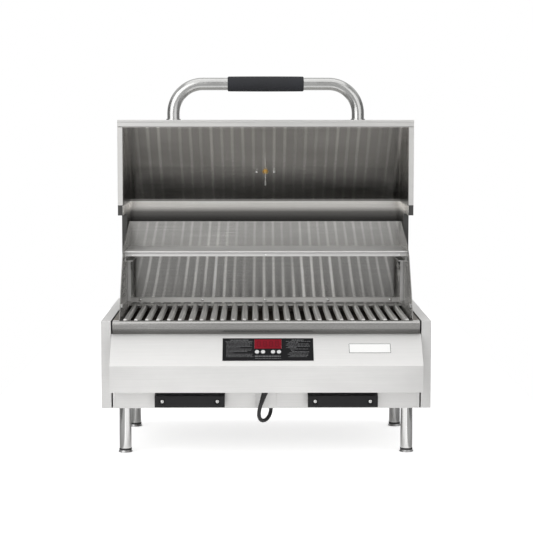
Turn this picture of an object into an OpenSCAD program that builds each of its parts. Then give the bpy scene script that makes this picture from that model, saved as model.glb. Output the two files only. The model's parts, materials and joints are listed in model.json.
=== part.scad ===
// Electric table grill: a sheet steel casing on four legs, a hinged double-walled lid shown open,
// three grates over a tube element, a sloped control housing and two drip trays.
// Depths run back from the casing's front plane, heights up from the table, widths from the middle.

/* [Casing] */
// Width over the two side shells
casing_w = 813; // [780:1:860]
// Depth of the casing
casing_d = 520; // [500:1:560]
// Height of the casing
casing_h = 217; // [205:1:240]
// Thickness of the casing sheet
sheet = 2; // [1.5:0.1:2.5]
// Width of the front and top flanges of a side shell
shell_flange = 24.5; // [20:0.5:32]
// Dark gap between a side shell and the cooking insert
insert_gap = 4; // [2:0.5:6]

/* [Legs] */
// Diameter of a leg tube
leg_dia = 30; // [24:1:36]
// Height of a leg tube
leg_h = 118; // [100:1:150]
// Wall of a leg tube
leg_wall = 1.5; // [1:0.1:2.5]
// Leg centre in from the casing side
leg_side_in = 51.5; // [45:0.5:60]
// Leg centre in from the casing front and back
leg_end_in = 85; // [70:1:100]
// Diameter of a foot pad
foot_dia = 36; // [32:1:44]
// Height of a foot pad
foot_h = 8; // [5:0.5:12]
// Diameter of a leg bolt
leg_bolt_dia = 8; // [6:1:10]

/* [Front] */
// Height of the rounded trim over the control housing
nose_h = 32; // [28:1:38]
// Radius of the rounded trim
nose_r = 10; // [8:0.5:12]
// Depth of the rounded trim behind the casing front
nose_back = 14; // [12:0.5:18]
// Overhang of the control housing
housing_out = 70; // [60:1:80]
// Drop of the control slope
slope_drop = 70; // [60:1:80]
// Height of the skirt below the slope
skirt_h = 65; // [55:1:70]
// Width of the post between the trays
mullion_w = 51; // [44:1:60]

/* [Controls] */
// Width of the fascia label
fascia_w = 222; // [205:1:240]
// Height of the fascia label along the slope
fascia_h = 67.6; // [62:0.2:72]
// Fascia start below the slope's top edge
fascia_down = 14.7; // [12:0.1:18]
// Fascia centre right of the middle
fascia_x = 4; // [-10:1:10]
// Thickness of the fascia label
fascia_t = 1.2; // [0.8:0.1:2]
// Width of the display window
display_w = 66; // [56:1:76]
// Height of the display window
display_h = 28; // [24:0.5:30]
// Display centre below the slope's top edge
display_down = 32.6; // [30:0.1:34]
// Diameter of a button
button_dia = 11; // [9:0.5:12]
// Button centre below the slope's top edge
button_down = 57.4; // [56:0.1:62]
// Inner buttons' distance from the display's middle
button_near = 12.2; // [10.5:0.1:13]
// Outer buttons' distance from the display's middle
button_far = 26.8; // [26:0.1:32]
// Travel of a button
button_travel = 1.2; // [0.8:0.1:1.6]
// Button height over the fascia
button_proud = 2.5; // [2:0.1:4]
// Width of the bare badge plate
badge_w = 103; // [80:1:120]
// Height of the bare badge plate
badge_h = 29; // [20:1:36]
// Badge plate centre in from the housing's end
badge_in = 128; // [110:1:160]
// Badge plate centre down the slope
badge_down = 45.5; // [40:0.5:50]

/* [Drip trays] */
// Height of a tray front
tray_front_h = 44; // [40:1:46]
// Tray front's outer edge in from the casing opening
tray_side_in = 10; // [8:1:20]
// Depth of a tray pan
tray_d = 330; // [280:1:360]
// Height of a tray pan
tray_h = 34; // [28:1:34]
// Sheet of a tray
tray_sheet = 1.5; // [1:0.1:2]
// Width of a tray handle
tray_handle_w = 172; // [150:1:200]
// Height of a tray handle
tray_handle_h = 35.5; // [30:0.5:38]
// Reach of a tray handle in front of the tray
tray_handle_out = 25; // [20:1:32]
// Tray handle centre in from the middle of its tray
tray_handle_in = 10.75; // [0:0.25:20]
// Distance between a tray handle's screws
tray_screw_span = 135.4; // [120:0.2:146]
// Shank diameter of a tray screw
tray_screw_dia = 5; // [4:0.5:6]

/* [Cooking space] */
// Back face of the rear wall
wall_d = 366; // [350:1:385]
// Depth of the firebox below the casing top
firebox_h = 81; // [78:1:95]
// Top of the grate bars over the casing top
grate_over = 3; // [2:0.5:5]
// Height of a grate with its rails
grate_h = 18; // [16:1:22]
// Width of a grate bar
bar_w = 16; // [12:0.5:18]
// Distance from bar to bar
bar_pitch = 27; // [25:0.5:28]
// Diameter of the element tube
element_dia = 8; // [6:0.5:10]
// Distance between the element's runs
element_pitch = 58; // [50:1:60]
// Height of the warming shelf's top over the casing top
shelf_up = 157; // [150:1:165]
// Front edge of the warming shelf
shelf_front = 170; // [160:1:190]
// Diameter of the shelf's rolled front edge
shelf_roll_dia = 6; // [5:0.5:7]
// Height of the rear wall over the casing top
wall_up = 223; // [215:1:225]

/* [Lid] */
// Distance between the lid's outer and inner faces
lid_wall = 14; // [12:0.5:18]
// Sheet of the lid
lid_sheet = 1.5; // [1:0.1:2]
// Height of the lid inside, closed
lid_inner_h = 242; // [235:1:260]
// Depth of the lid's inner top corner, closed
lid_corner_d = 194; // [185:1:200]
// Depth of the lid's rear end, closed
lid_rear_d = 425; // [418:1:435]
// Depth of the step in the lid's sides, closed
lid_step_d = 225; // [215:1:240]
// Depth of the lid pivot
pivot_d = 327; // [322:1:332]
// Gap over the casing top under the rear end of the opened lid
lid_rear_gap = 49; // [44:1:52]
// Angle that the lid stands open
lid_open = 90; // [80:1:95]
// Radius of the lid's hinge ears
ear_r = 16; // [14:0.5:20]
// Diameter of a hinge pin
pin_dia = 10; // [8:0.5:12]
// Diameter of the rolled edge at the lid's front
lid_hem_dia = 8; // [6:0.5:10]

/* [Lid handle] */
// Diameter of the handle tube
handle_dia = 31.75; // [28:0.25:34]
// Wall of the handle tube
handle_wall = 1.5; // [1:0.1:3]
// Distance between the handle's post centres
handle_span = 472; // [440:1:500]
// Reach of the handle's bar from the closed lid's front edge
handle_reach = 92; // [84:1:100]
// Height of the handle over the casing top, closed
handle_up = 29; // [26:0.5:34]
// Bend radius of the handle's centre line
handle_bend = 75; // [65:1:80]
// Length of the grip
grip_l = 194; // [160:1:220]
// Diameter of the grip
grip_dia = 38.7; // [36:0.1:42]

/* [Thermometer] */
// Distance of the thermometer along the lid front from its lip
gauge_along = 187; // [170:1:200]
// Diameter of the thermometer case
gauge_dia = 64; // [58:1:72]
// Length of the stem inside the lid
stem_l = 45; // [35:1:50]

/* [Lead] */
// Diameter of the control lead
lead_dia = 9.5; // [8:0.5:11]
// Top diameter of the lead's boot
boot_dia = 17; // [15:0.5:20]
// Bore of the rear cord gland
gland_bore = 10; // [8:0.5:12]

/* [Hidden] */
$fn = 64;

// Clearances
pin_gap = 0.075;
slide_gap = 0.3;
snug = 0.2;
lid_side_gap = 1;
rim_gap = 3;
tray_front_gap = 0.5;

// Widths from the middle
half_w = casing_w / 2;
opening_half = half_w - shell_flange;
insert_half = opening_half - insert_gap;
housing_half = opening_half - 1;
badge_x = housing_half - badge_in;
badge_t = 0.8;
liner_half = insert_half - lid_wall;
cheek_half = liner_half - lid_side_gap;
inside_half = cheek_half - sheet;
leg_x = half_w - leg_side_in;

// Heights
floor_z = foot_h + leg_h;
top_z = floor_z + casing_h;
slope_top_z = top_z - nose_h;
slope_low_z = slope_top_z - slope_drop;
skirt_low_z = slope_low_z - skirt_h;
fire_z = top_z - firebox_h;
grate_z = top_z + grate_over;
ledge_z = grate_z - grate_h;
shelf_z = top_z + shelf_up;
wall_z = top_z + wall_up;

// Depths
gland_flange_t = 3;
front_y = (housing_out - casing_d - gland_flange_t) / 2;
cook_front = 2 * sheet;

// Control slope
slope_a = atan2(slope_drop, housing_out);
button_xs = [-button_far, -button_near, button_near, button_far];
button_flange_t = 1.2;
button_flange_over = 1.5;
board_gap = 8;
board_t = 1.6;
board_size = [200, 66];
display_rest = 3;

// Trays
tray_x0 = mullion_w / 2;
tray_x1 = opening_half - tray_side_in;
tray_handle_x = (tray_x0 + tray_x1) / 2 - tray_handle_in;
tray_front_z = floor_z + 4;
pan_in = 6;
pan_z = floor_z + 8;
slot_gap = 2;
tray_handle_z = floor_z + 6.5;
tray_handle_lip = 28;
tray_grip_t = 6;
tray_screw_z = tray_handle_z + 14;
screw_head_r = 5;
screw_head_h = 3;
counterbore_r = 7.5;
counterbore_depth = 4;
tray_boss_r = 10;
tray_outer_d = -tray_front_gap - sheet;
runner_w = 12;
runner_in = 30;

// Cooking space
nose_top_d = nose_r - 6;
ledge_w = 24;
grate_gap = 0.5;
grate_w = (2 * inside_half - 4 * grate_gap) / 3;
bar_count = floor((grate_w - bar_w) / bar_pitch) + 1;
rail_w = 8;
bar_h = 12;
bar_tip = 6;
cheek_tail = 43;
element_z = fire_z + 30;
element_runs = 2 * floor((2 * inside_half - 40) / (2 * element_pitch));
element_front = 50;
element_rear = wall_d - 36;
support_h = 18;
support_t = 3;
support_in = 60;
probe_x = -150;
probe_z = fire_z + 14;
probe_r = 3;
probe_tail = 20;
probe_reach = 80;
probe_collar_r = 7;
probe_collar_l = 3;
cheek_bolt = [45, top_z + 31];
cheek_bolt_r = 4;
cheek_outline = [[nose_back, 2], [62, 74], [99, 119], [122, 147], [172, 176], [wall_d - 30, wall_up],
    [wall_d, wall_up], [wall_d, -cheek_tail], [nose_back, -cheek_tail]];
bracket_w = 20;
bracket_h = 24;
shelf_lip_h = 12;
shelf_lip_d = shelf_front + shelf_roll_dia / 2 - 1;
rivet_r = 3;
rivet_xs = [-inside_half + 19, 0, inside_half - 19];
return_d = 104;

// Lid, drawn closed and turned open about its pivot
rim_z = top_z + rim_gap;
pivot_up = lid_rear_d - pivot_d + lid_rear_gap;
pivot = [pivot_d, top_z + pivot_up];
lip = [0, rim_z];
corner = [lid_corner_d, rim_z + lid_inner_h];
slope_u = (corner - lip) / norm(corner - lip);
slope_n = [-slope_u.y, slope_u.x];
lid_a = atan2(slope_u.y, slope_u.x);
lid_top_z = corner.y + lid_wall;
outer_low = front_at(lid_wall, rim_z);
outer_corner = front_at(lid_wall, lid_top_z);
hem_r = lid_hem_dia / 2;
hem_at = front_at(lid_wall - lid_sheet / 2, rim_z + hem_r - 1);
pin_r = pin_dia / 2;
bushing_r = pin_r + 4;
stop_r = 5;
stop_wall_gap = 6.3;
pin_head_r = 8;
pin_head_h = 6;
edge_0 = turned([pivot.x + ear_r, pivot.y]);
edge_1 = turned([lid_rear_d, corner.y]);
edge_u = (edge_1 - edge_0) / norm(edge_1 - edge_0);
stop_off = stop_r + slide_gap;
stop_d = wall_d - sheet - pin_head_r - stop_wall_gap;
stop_along = (stop_d - edge_0.x - edge_u.y * stop_off) / edge_u.x;
stop_at = edge_0 + edge_u * stop_along + [edge_u.y, -edge_u.x] * stop_off;
pin_end = insert_half - lid_sheet - 1;

// Handle
handle_z = top_z + handle_up;
handle_bar_d = outer_low.x - handle_reach;
handle_r = handle_dia / 2;
base_ring_r = handle_r + 4;
base_ring_l = 12;

// Thermometer
gauge_r = gauge_dia / 2;
gauge_h = 14;
gauge_wall = 3;
stem_r = 2;
stud_x = 23;
dial_t = 0.6;
pointer_t = 1;
pointer_z = gauge_wall + dial_t + 1;
pointer_pin_r = 1;
lens_t = 2;

// Lead between the control housing and the casing floor
boot_tip = [-13.4, -36, 141.8];
boot_top = [-2, -36, 176];
boot_u = (boot_top - boot_tip) / norm(boot_top - boot_tip);
lead_gland = [12, 50];
gland_drop = 8;
lead_run = 60;
lead_rise = 40;
lead_end_z = floor_z - gland_drop - slide_gap;
lead_p = [boot_tip, boot_tip - lead_run * boot_u, [lead_gland.x, lead_gland.y, lead_end_z - lead_rise],
    [lead_gland.x, lead_gland.y, lead_end_z]];
lead_rings = 16;
lead_sides = 10;
rear_gland_z = 34;
gland_r = gland_bore / 2 + 4;

// Shared shapes

function front_at(out, z) = let (p = lip + slope_n * out) p + slope_u * ((z - p.y) / slope_u.y);
function turned(p) = let (v = p - pivot, c = cos(lid_open), s = sin(lid_open))
    pivot + [v.x * c + v.y * s, v.y * c - v.x * s];
function bezier(p, t) = p[0] * pow(1 - t, 3) + p[1] * 3 * t * pow(1 - t, 2)
    + p[2] * 3 * t * t * (1 - t) + p[3] * pow(t, 3);
function bezier_u(p, t) = let (v = (p[1] - p[0]) * pow(1 - t, 2) + (p[2] - p[1]) * 2 * t * (1 - t)
    + (p[3] - p[2]) * t * t) v / norm(v);

module from_front() { translate([0, front_y, 0]) children(); }
module both_sides() {
    children();
    mirror([1, 0, 0]) children();
}
module box(x, d, z) { translate([x[0], d[0], z[0]]) cube([x[1] - x[0], d[1] - d[0], z[1] - z[0]]); }
module wide_box(half, d, z) { box([-half, half], d, z); }
module along_x(x0, x1) { translate([x0, 0, 0]) rotate([90, 0, 90]) linear_extrude(x1 - x0) children(); }
module x_rod(r, x0, x1, at) { along_x(x0, x1) translate(at) circle(r); }
module d_rod(r, x, z, d0, d1) { translate([x, d0, z]) rotate([-90, 0, 0]) cylinder(r = r, h = d1 - d0); }
module strip(p, q, t) {
    n = [p.y - q.y, q.x - p.x] / norm(q - p) * t;
    polygon([p, q, q + n, p + n]);
}
module at_legs() {
    for (x = [-leg_x, leg_x], d = [leg_end_in, casing_d - leg_end_in]) translate([x, d, 0]) children();
}
module on_slope() { translate([0, 0, slope_top_z]) rotate([slope_a, 0, 0]) children(); }
module on_lid() {
    translate([0, pivot.x, pivot.y]) rotate([-lid_open, 0, 0]) translate([0, -pivot.x, -pivot.y]) children();
}
module at_gauge() {
    p = lip + slope_u * gauge_along + slope_n * lid_wall;
    on_lid() translate([0, p.x, p.y]) rotate([lid_a, 0, 0]) children();
}

// Casing

module casing_side() {
    from_front() color("silver") {
        box([half_w - sheet, half_w], [0, casing_d], [floor_z, top_z]);
        box([opening_half, half_w], [0, sheet], [floor_z, top_z]);
        box([opening_half, half_w], [0, casing_d], [top_z - sheet, top_z]);
    }
}
module casing_side_left() { mirror([1, 0, 0]) casing_side(); }
module casing_side_right() { casing_side(); }

module rear_gland() {
    difference() {
        union() {
            d_rod(gland_r, 0, floor_z + rear_gland_z, casing_d - sheet - 8, casing_d);
            d_rod(gland_r + 4, 0, floor_z + rear_gland_z, casing_d, casing_d + gland_flange_t);
        }
        d_rod(gland_bore / 2, 0, floor_z + rear_gland_z, casing_d - 20, casing_d + 10);
    }
}
module casing_back() {
    from_front() color("silver") difference() {
        wide_box(half_w - sheet, [casing_d - sheet, casing_d], [floor_z, top_z - sheet]);
        d_rod(gland_r, 0, floor_z + rear_gland_z, casing_d - 20, casing_d + 10);
    }
}
module floor_gland() {
    stem = lead_dia / 2 + 1;
    translate([lead_gland.x, lead_gland.y, 0]) {
        translate([0, 0, floor_z - gland_drop]) cylinder(r = stem + 4, h = gland_drop);
        translate([0, 0, floor_z]) cylinder(r = stem, h = sheet + 4);
    }
}
module cord_glands() {
    from_front() color("#202022") {
        rear_gland();
        floor_gland();
    }
}
module casing_floor() {
    from_front() color("silver") difference() {
        wide_box(half_w - sheet, [sheet, casing_d - sheet], [floor_z, floor_z + sheet]);
        at_legs() translate([0, 0, floor_z - 1]) cylinder(d = leg_bolt_dia + 2 * snug, h = sheet + 2);
        translate([lead_gland.x, lead_gland.y, floor_z - 1]) cylinder(r = lead_dia / 2 + 1, h = sheet + 2);
    }
}
module element_holes() {
    for (x = [element_x(0), element_x(element_runs - 1)])
        d_rod(element_dia / 2 + snug, x, element_z, -1, cook_front + 1);
    d_rod(probe_r + snug, probe_x, probe_z, -1, cook_front + 1);
}
module front_panel() {
    slot_x = [tray_x0 + pan_in - slot_gap, tray_x1 - pan_in + slot_gap];
    from_front() color("silver") difference() {
        union() {
            wide_box(opening_half, [0, sheet], [floor_z, slope_top_z]);
            wide_box(insert_half - sheet, [0, sheet], [slope_top_z, top_z - sheet]);
        }
        both_sides() box(slot_x, [-1, sheet + 1], [pan_z - slot_gap, pan_z + tray_h + slot_gap]);
        element_holes();
    }
}

// Legs

module legs() {
    plug = 12;
    from_front() color("silver") at_legs() difference() {
        translate([0, 0, foot_h]) cylinder(d = leg_dia, h = leg_h);
        translate([0, 0, foot_h - 1]) cylinder(d = leg_dia - 2 * leg_wall, h = leg_h - plug + 1);
        translate([0, 0, floor_z - plug - 1]) cylinder(d = leg_bolt_dia + 2 * snug, h = plug + 2);
    }
}
module foot_pads() {
    spigot = 10;
    from_front() color("dimgray") at_legs() {
        cylinder(d = foot_dia, h = foot_h);
        cylinder(d = leg_dia - 2 * leg_wall - 2 * snug, h = foot_h + spigot);
    }
}
module leg_bolts() {
    head_h = 4.5;
    below = 20;
    from_front() color("gray") at_legs() {
        translate([0, 0, floor_z + sheet]) cylinder(d = 1.6 * leg_bolt_dia, h = head_h, $fn = 6);
        translate([0, 0, floor_z - below]) cylinder(d = leg_bolt_dia, h = below + sheet);
    }
}

// Firebox and trim

module firebox() {
    outer = cheek_half + sheet;
    drain_in = 40;
    from_front() color("gainsboro") difference() {
        union() {
            wide_box(outer, [sheet, cook_front], [fire_z, top_z - sheet]);
            wide_box(outer, [wall_d, wall_d + sheet], [fire_z, top_z - sheet]);
            wide_box(outer, [sheet, wall_d + sheet], [fire_z, fire_z + sheet]);
            both_sides() {
                box([cheek_half, outer], [sheet, wall_d + sheet], [fire_z, top_z - sheet]);
                box([cheek_half, insert_half], [nose_back, wall_d], [top_z - sheet, top_z]);
            }
            wide_box(inside_half, [cook_front, cook_front + ledge_w], [ledge_z - sheet, ledge_z]);
            wide_box(inside_half, [wall_d - ledge_w, wall_d], [ledge_z - sheet, ledge_z]);
        }
        both_sides() box([tray_x0 + drain_in, tray_x1 - drain_in], [drain_in, tray_d - drain_in],
            [fire_z - 1, fire_z + sheet + 1]);
        element_holes();
    }
}
module rear_deck() {
    from_front() color("silver") wide_box(insert_half, [wall_d, casing_d], [top_z - sheet, top_z]);
}
module nose_outline(t) {
    r = nose_r - t;
    front = nose_top_d - r;
    crease = top_z - nose_h * 0.72;
    translate([nose_top_d, top_z - nose_r]) circle(r);
    translate([front, crease]) square([nose_back - front, top_z - nose_r - crease]);
    translate([nose_top_d, crease]) square([nose_back - nose_top_d, top_z - t - crease]);
    polygon([[front, crease], [t, slope_top_z], [nose_back, slope_top_z], [nose_back, crease]]);
}
module front_bullnose() {
    from_front() color("silver") along_x(-insert_half, insert_half) difference() {
        nose_outline(0);
        nose_outline(sheet);
        square([nose_back + 1, top_z - sheet]);
    }
}

// Cooking space

module cheek() {
    from_front() color("gainsboro") difference() {
        along_x(inside_half, cheek_half) polygon([for (p = cheek_outline) [p.x, top_z + p.y]]);
        x_rod(pin_r, inside_half - 1, cheek_half + 1, pivot);
        x_rod(stop_r, inside_half - 1, cheek_half + 1, stop_at);
        x_rod(cheek_bolt_r, inside_half - 1, cheek_half + 1, cheek_bolt);
    }
}
module cheek_left() { mirror([1, 0, 0]) cheek(); }
module cheek_right() { cheek(); }
module cheek_bolts() {
    head = [2 * cheek_bolt_r, 5];
    from_front() color("lightgray") both_sides() {
        x_rod(cheek_bolt_r, inside_half, cheek_half, cheek_bolt);
        x_rod(head[0], inside_half - head[1], inside_half, cheek_bolt);
    }
}
module rear_wall() {
    bracket_low = shelf_z - sheet - bracket_h - slide_gap;
    return_z = [grate_z + 1, min(stop_at.y - pin_head_r - 4, bracket_low)];
    from_front() color("gainsboro") {
        wide_box(inside_half, [wall_d - sheet, wall_d], [ledge_z, wall_z]);
        both_sides() box([inside_half - sheet, inside_half], [wall_d - return_d, wall_d], return_z);
    }
}
module rear_rail() {
    rail = [6, 12];
    foot = grate_z + 4;
    from_front() color("lightgray")
        wide_box(inside_half - sheet, [wall_d - sheet - rail[0], wall_d - sheet], [foot, foot + rail[1]]);
}
module warming_shelf() {
    roll_r = shelf_roll_dia / 2;
    half = inside_half - slide_gap;
    from_front() color("gainsboro") {
        wide_box(half, [shelf_front, wall_d - sheet], [shelf_z - sheet, shelf_z]);
        wide_box(half, [shelf_lip_d, shelf_lip_d + sheet], [shelf_z - shelf_lip_h, shelf_z]);
        x_rod(roll_r, -half, half, [shelf_front, shelf_z - sheet / 2]);
    }
}
module shelf_brackets() {
    z1 = shelf_z - sheet;
    z0 = z1 - bracket_h;
    reach = [shelf_front + 14, pivot_d - pin_head_r - 4];
    from_front() color("silver") both_sides() {
        box([inside_half - sheet, inside_half], reach, [z0, z1]);
        for (z = [z0, z1 - sheet]) box([inside_half - bracket_w, inside_half], reach, [z, z + sheet]);
    }
}
module shelf_rivets() {
    from_front() color("white") for (x = rivet_xs)
        d_rod(rivet_r, x, shelf_z - shelf_lip_h + rivet_r, shelf_lip_d - 2, shelf_lip_d);
}
module grate(step) {
    first = -(bar_count - 1) * bar_pitch / 2;
    span = [nose_back, wall_d - sheet - 4];
    x_mid = step * (grate_w + grate_gap);
    bar_z = grate_z - bar_h;
    from_front() color("lightgray") translate([x_mid, 0, 0]) {
        for (i = [0 : bar_count - 1]) translate([first + i * bar_pitch, 0, 0])
            along_x(-bar_w / 2, bar_w / 2) polygon([[span[0], bar_z], [span[0], grate_z - bar_tip],
                [span[0] + bar_tip, grate_z], [span[1], grate_z], [span[1], bar_z]]);
        for (d = [span[0] + 4, span[1] - 4 - rail_w])
            wide_box(grate_w / 2, [d, d + rail_w], [ledge_z, bar_z + 2]);
    }
}
module grate_left() { grate(-1); }
module grate_center() { grate(0); }
module grate_right() { grate(1); }

// Heating

function element_x(i) = (i - (element_runs - 1) / 2) * element_pitch;
module heating_element() {
    bend_r = element_pitch / 2;
    r = element_dia / 2;
    cold_end = -12;
    last = element_runs - 1;
    from_front() color("dimgray") {
        for (i = [0 : last])
            d_rod(r, element_x(i), element_z, i == 0 || i == last ? cold_end : element_front + bend_r,
                element_rear - bend_r);
        for (i = [0 : last - 1]) {
            rear = i % 2 == 0;
            translate([element_x(i) + bend_r, rear ? element_rear - bend_r : element_front + bend_r, element_z])
                rotate([0, 0, rear ? 0 : 180]) rotate_extrude(angle = 180) translate([bend_r, 0]) circle(r);
        }
    }
}
module element_supports() {
    z1 = element_z - element_dia / 2 - slide_gap;
    from_front() color("gray") for (d = [element_front + support_in, element_rear - support_in])
        wide_box(cheek_half, [d, d + support_t], [z1 - support_h, z1]);
}
module temperature_probe() {
    from_front() color("silver") {
        d_rod(probe_r, probe_x, probe_z, -probe_tail, probe_reach);
        d_rod(probe_collar_r, probe_x, probe_z, -probe_collar_l, 0);
    }
}

// Control housing

module housing_outline(t) {
    rise = tan(slope_a);
    top = slope_top_z - t / cos(slope_a);
    out = housing_out - t;
    back = t > 0 ? 1 : 0;
    polygon([[back, top + back * rise], [-out, top - out * rise], [-out, skirt_low_z + t],
        [back, skirt_low_z + t]]);
}
module at_buttons() {
    for (x = button_xs) translate([fascia_x + x, -button_down, 0]) children();
}
module display_block(inset, z0, z1) {
    w = display_w - 2 * inset;
    h = display_h - 2 * inset;
    translate([fascia_x - w / 2, -display_down - h / 2, z0]) cube([w, h, z1 - z0]);
}
module slope_plate(x, down, w, h, t) { translate([x - w / 2, -down - h, 0]) cube([w, h, t]); }
module control_housing() {
    from_front() color("silver") difference() {
        along_x(-housing_half, housing_half) housing_outline(0);
        along_x(-housing_half + sheet, housing_half - sheet) housing_outline(sheet);
        on_slope() {
            display_block(display_rest, -2 * sheet, sheet);
            at_buttons() translate([0, 0, -2 * sheet]) cylinder(d = button_dia + 2 * slide_gap, h = 3 * sheet);
        }
    }
}
module control_fascia() {
    from_front() color("black") on_slope() difference() {
        slope_plate(fascia_x, fascia_down, fascia_w, fascia_h, fascia_t);
        display_block(-snug, -1, fascia_t + 1);
        at_buttons() translate([0, 0, -1]) cylinder(d = button_dia + 2 * slide_gap, h = fascia_t + 2);
    }
}
module display_window() {
    from_front() color("darkred") on_slope() display_block(0, 0, fascia_t + 0.4);
}
module button(i) {
    flange_z = -sheet - slide_gap;
    from_front() color("silver") on_slope() translate([fascia_x + button_xs[i], -button_down, 0]) {
        translate([0, 0, flange_z]) cylinder(d = button_dia, h = fascia_t + button_proud - flange_z);
        translate([0, 0, flange_z - button_flange_t])
            cylinder(r = button_dia / 2 + button_flange_over - 0.4, h = button_flange_t);
    }
}
module button_1() { button(0); }
module button_2() { button(1); }
module button_3() { button(2); }
module button_4() { button(3); }
module badge_plate() {
    from_front() color("whitesmoke") on_slope()
        slope_plate(badge_x, badge_down - badge_h / 2, badge_w, badge_h, badge_t);
}
module control_board() {
    board_z = -sheet - board_gap;
    post_in = 6;
    switch_top = -sheet - 2 * slide_gap - button_flange_t - button_travel;
    from_front() color("darkgreen") on_slope() {
        translate([fascia_x - board_size[0] / 2, -fascia_down - board_size[1], board_z - board_t])
            cube([board_size[0], board_size[1], board_t]);
        display_block(display_rest + 1, board_z, -slide_gap);
        at_buttons() translate([0, 0, board_z]) cylinder(r = 3, h = switch_top - board_z);
        for (x = [-1, 1] * (board_size[0] / 2 - post_in), y = [post_in, board_size[1] - post_in])
            translate([fascia_x + x, -fascia_down - y, board_z]) cylinder(r = 3, h = board_gap);
    }
}
module terminal_block() {
    size = [60, 30, 25];
    from_front() color("dimgray") translate([-size[0] / 2, casing_d - 110, floor_z + sheet]) cube(size);
}

// Drip trays

module tray_runners() {
    top = pan_z - slide_gap;
    from_front() color("gray") both_sides()
        for (x = [tray_x0 + pan_in + runner_in, tray_x1 - pan_in - runner_in - runner_w])
            box([x, x + runner_w], [sheet, tray_d + 10], [floor_z + sheet, top]);
}
module drip_tray() {
    x = [tray_x0 + pan_in, tray_x1 - pan_in];
    t = tray_sheet;
    from_front() color("gainsboro") difference() {
        box(x, [-tray_front_gap, tray_d], [pan_z, pan_z + tray_h]);
        box([x[0] + t, x[1] - t], [t, tray_d - t], [pan_z + t, pan_z + tray_h + 1]);
        tray_screw_holes();
    }
}
module drip_tray_left() { mirror([1, 0, 0]) drip_tray(); }
module drip_tray_right() { drip_tray(); }
module at_tray_screws() {
    for (s = [-1, 1]) translate([tray_handle_x + s * tray_screw_span / 2, 0, tray_screw_z]) children();
}
module tray_screw_holes() {
    at_tray_screws() d_rod(tray_screw_dia / 2 + snug, 0, 0, -100, tray_sheet + 1);
}
module tray_front() {
    from_front() color("silver") difference() {
        box([tray_x0, tray_x1], [tray_outer_d, -tray_front_gap], [tray_front_z, tray_front_z + tray_front_h]);
        tray_screw_holes();
    }
}
module tray_front_left() { mirror([1, 0, 0]) tray_front(); }
module tray_front_right() { tray_front(); }
module tray_handle() {
    tip = tray_outer_d - tray_handle_out;
    z1 = tray_handle_z + tray_handle_h;
    lip_z = tray_handle_z + tray_handle_lip;
    from_front() color("#343435") difference() {
        union() {
            along_x(tray_handle_x - tray_handle_w / 2, tray_handle_x + tray_handle_w / 2)
                polygon([[tray_outer_d, z1], [tip, lip_z], [tip, tray_handle_z],
                    [tip + tray_grip_t, tray_handle_z], [tip + tray_grip_t, lip_z - tray_grip_t],
                    [tray_outer_d, z1 - tray_grip_t]]);
            at_tray_screws() d_rod(tray_boss_r, 0, 0, tip + 1, tray_outer_d);
        }
        tray_screw_holes();
        at_tray_screws() d_rod(counterbore_r, 0, 0, tip - 1, tip + counterbore_depth);
    }
}
module tray_handle_left() { mirror([1, 0, 0]) tray_handle(); }
module tray_handle_right() { tray_handle(); }
module tray_screws() {
    seat = tray_outer_d - tray_handle_out + counterbore_depth;
    from_front() color("lightgray") at_tray_screws() {
        d_rod(screw_head_r, 0, 0, seat - screw_head_h, seat);
        d_rod(tray_screw_dia / 2, 0, 0, seat, tray_sheet + 2);
    }
}
module tray_screws_left() { mirror([1, 0, 0]) tray_screws(); }
module tray_screws_right() { tray_screws(); }

// Lid

module lid_side(front, top) {
    difference() {
        union() {
            polygon([front_at(front, rim_z), [lid_step_d, rim_z], [lid_step_d, pivot.y - ear_r],
                [pivot.x, pivot.y - ear_r], [pivot.x + ear_r, pivot.y], [lid_rear_d, corner.y],
                [lid_rear_d, top], front_at(front, top)]);
            translate(pivot) circle(ear_r);
        }
        translate(pivot) circle(bushing_r);
    }
}
module rim_path() {
    p = [[lip.x, rim_z], [lid_step_d, rim_z], [lid_step_d, pivot.y - ear_r], [pivot.x, pivot.y - ear_r]];
    strip(p[0], p[1], lid_sheet);
    strip(p[1], p[2], lid_sheet);
    strip(p[2] - [lid_sheet, 0], p[3], lid_sheet);
    strip([pivot.x + ear_r, pivot.y], [lid_rear_d, corner.y], lid_sheet);
}
module gauge_holes() {
    at_gauge() for (x = [-stud_x, 0, stud_x])
        translate([x, 0, -2 * lid_wall]) cylinder(r = stem_r + snug, h = 3 * lid_wall);
}
module lid_skin() {
    t = lid_sheet;
    inner_low = front_at(t, rim_z);
    from_front() color("silver") difference() {
        on_lid() {
            both_sides() {
                along_x(insert_half - t, insert_half) lid_side(lid_wall, lid_top_z);
                along_x(liner_half + t, insert_half) rim_path();
            }
            along_x(-insert_half, insert_half) {
                strip(outer_low, outer_corner, -t);
                strip(outer_corner, [lid_rear_d, lid_top_z], -t);
                strip([lid_rear_d, lid_top_z], [lid_rear_d, corner.y + t], -t);
                polygon([outer_low, inner_low, front_at(t, rim_z + t), front_at(lid_wall, rim_z + t)]);
                translate(hem_at) circle(hem_r);
            }
        }
        gauge_holes();
    }
}
module lid_liner() {
    t = lid_sheet;
    from_front() color("gainsboro") difference() {
        on_lid() {
            both_sides() along_x(liner_half, liner_half + t) lid_side(0, corner.y);
            along_x(-liner_half - t, liner_half + t) difference() {
                union() {
                    strip(lip, corner, t);
                    strip(corner, [lid_rear_d, corner.y], t);
                    polygon([corner, corner + slope_n * t, front_at(t, corner.y + t), corner + [0, t]]);
                }
                translate([lip.x - lid_wall, rim_z - 1]) square([2 * lid_wall, t + 1]);
            }
        }
        gauge_holes();
    }
}
module behind_lid_front() {
    along_x(-insert_half, insert_half) polygon([outer_low - slope_u * 40, outer_corner,
        outer_corner - slope_n * 200, outer_low - slope_u * 40 - slope_n * 200]);
}
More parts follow.
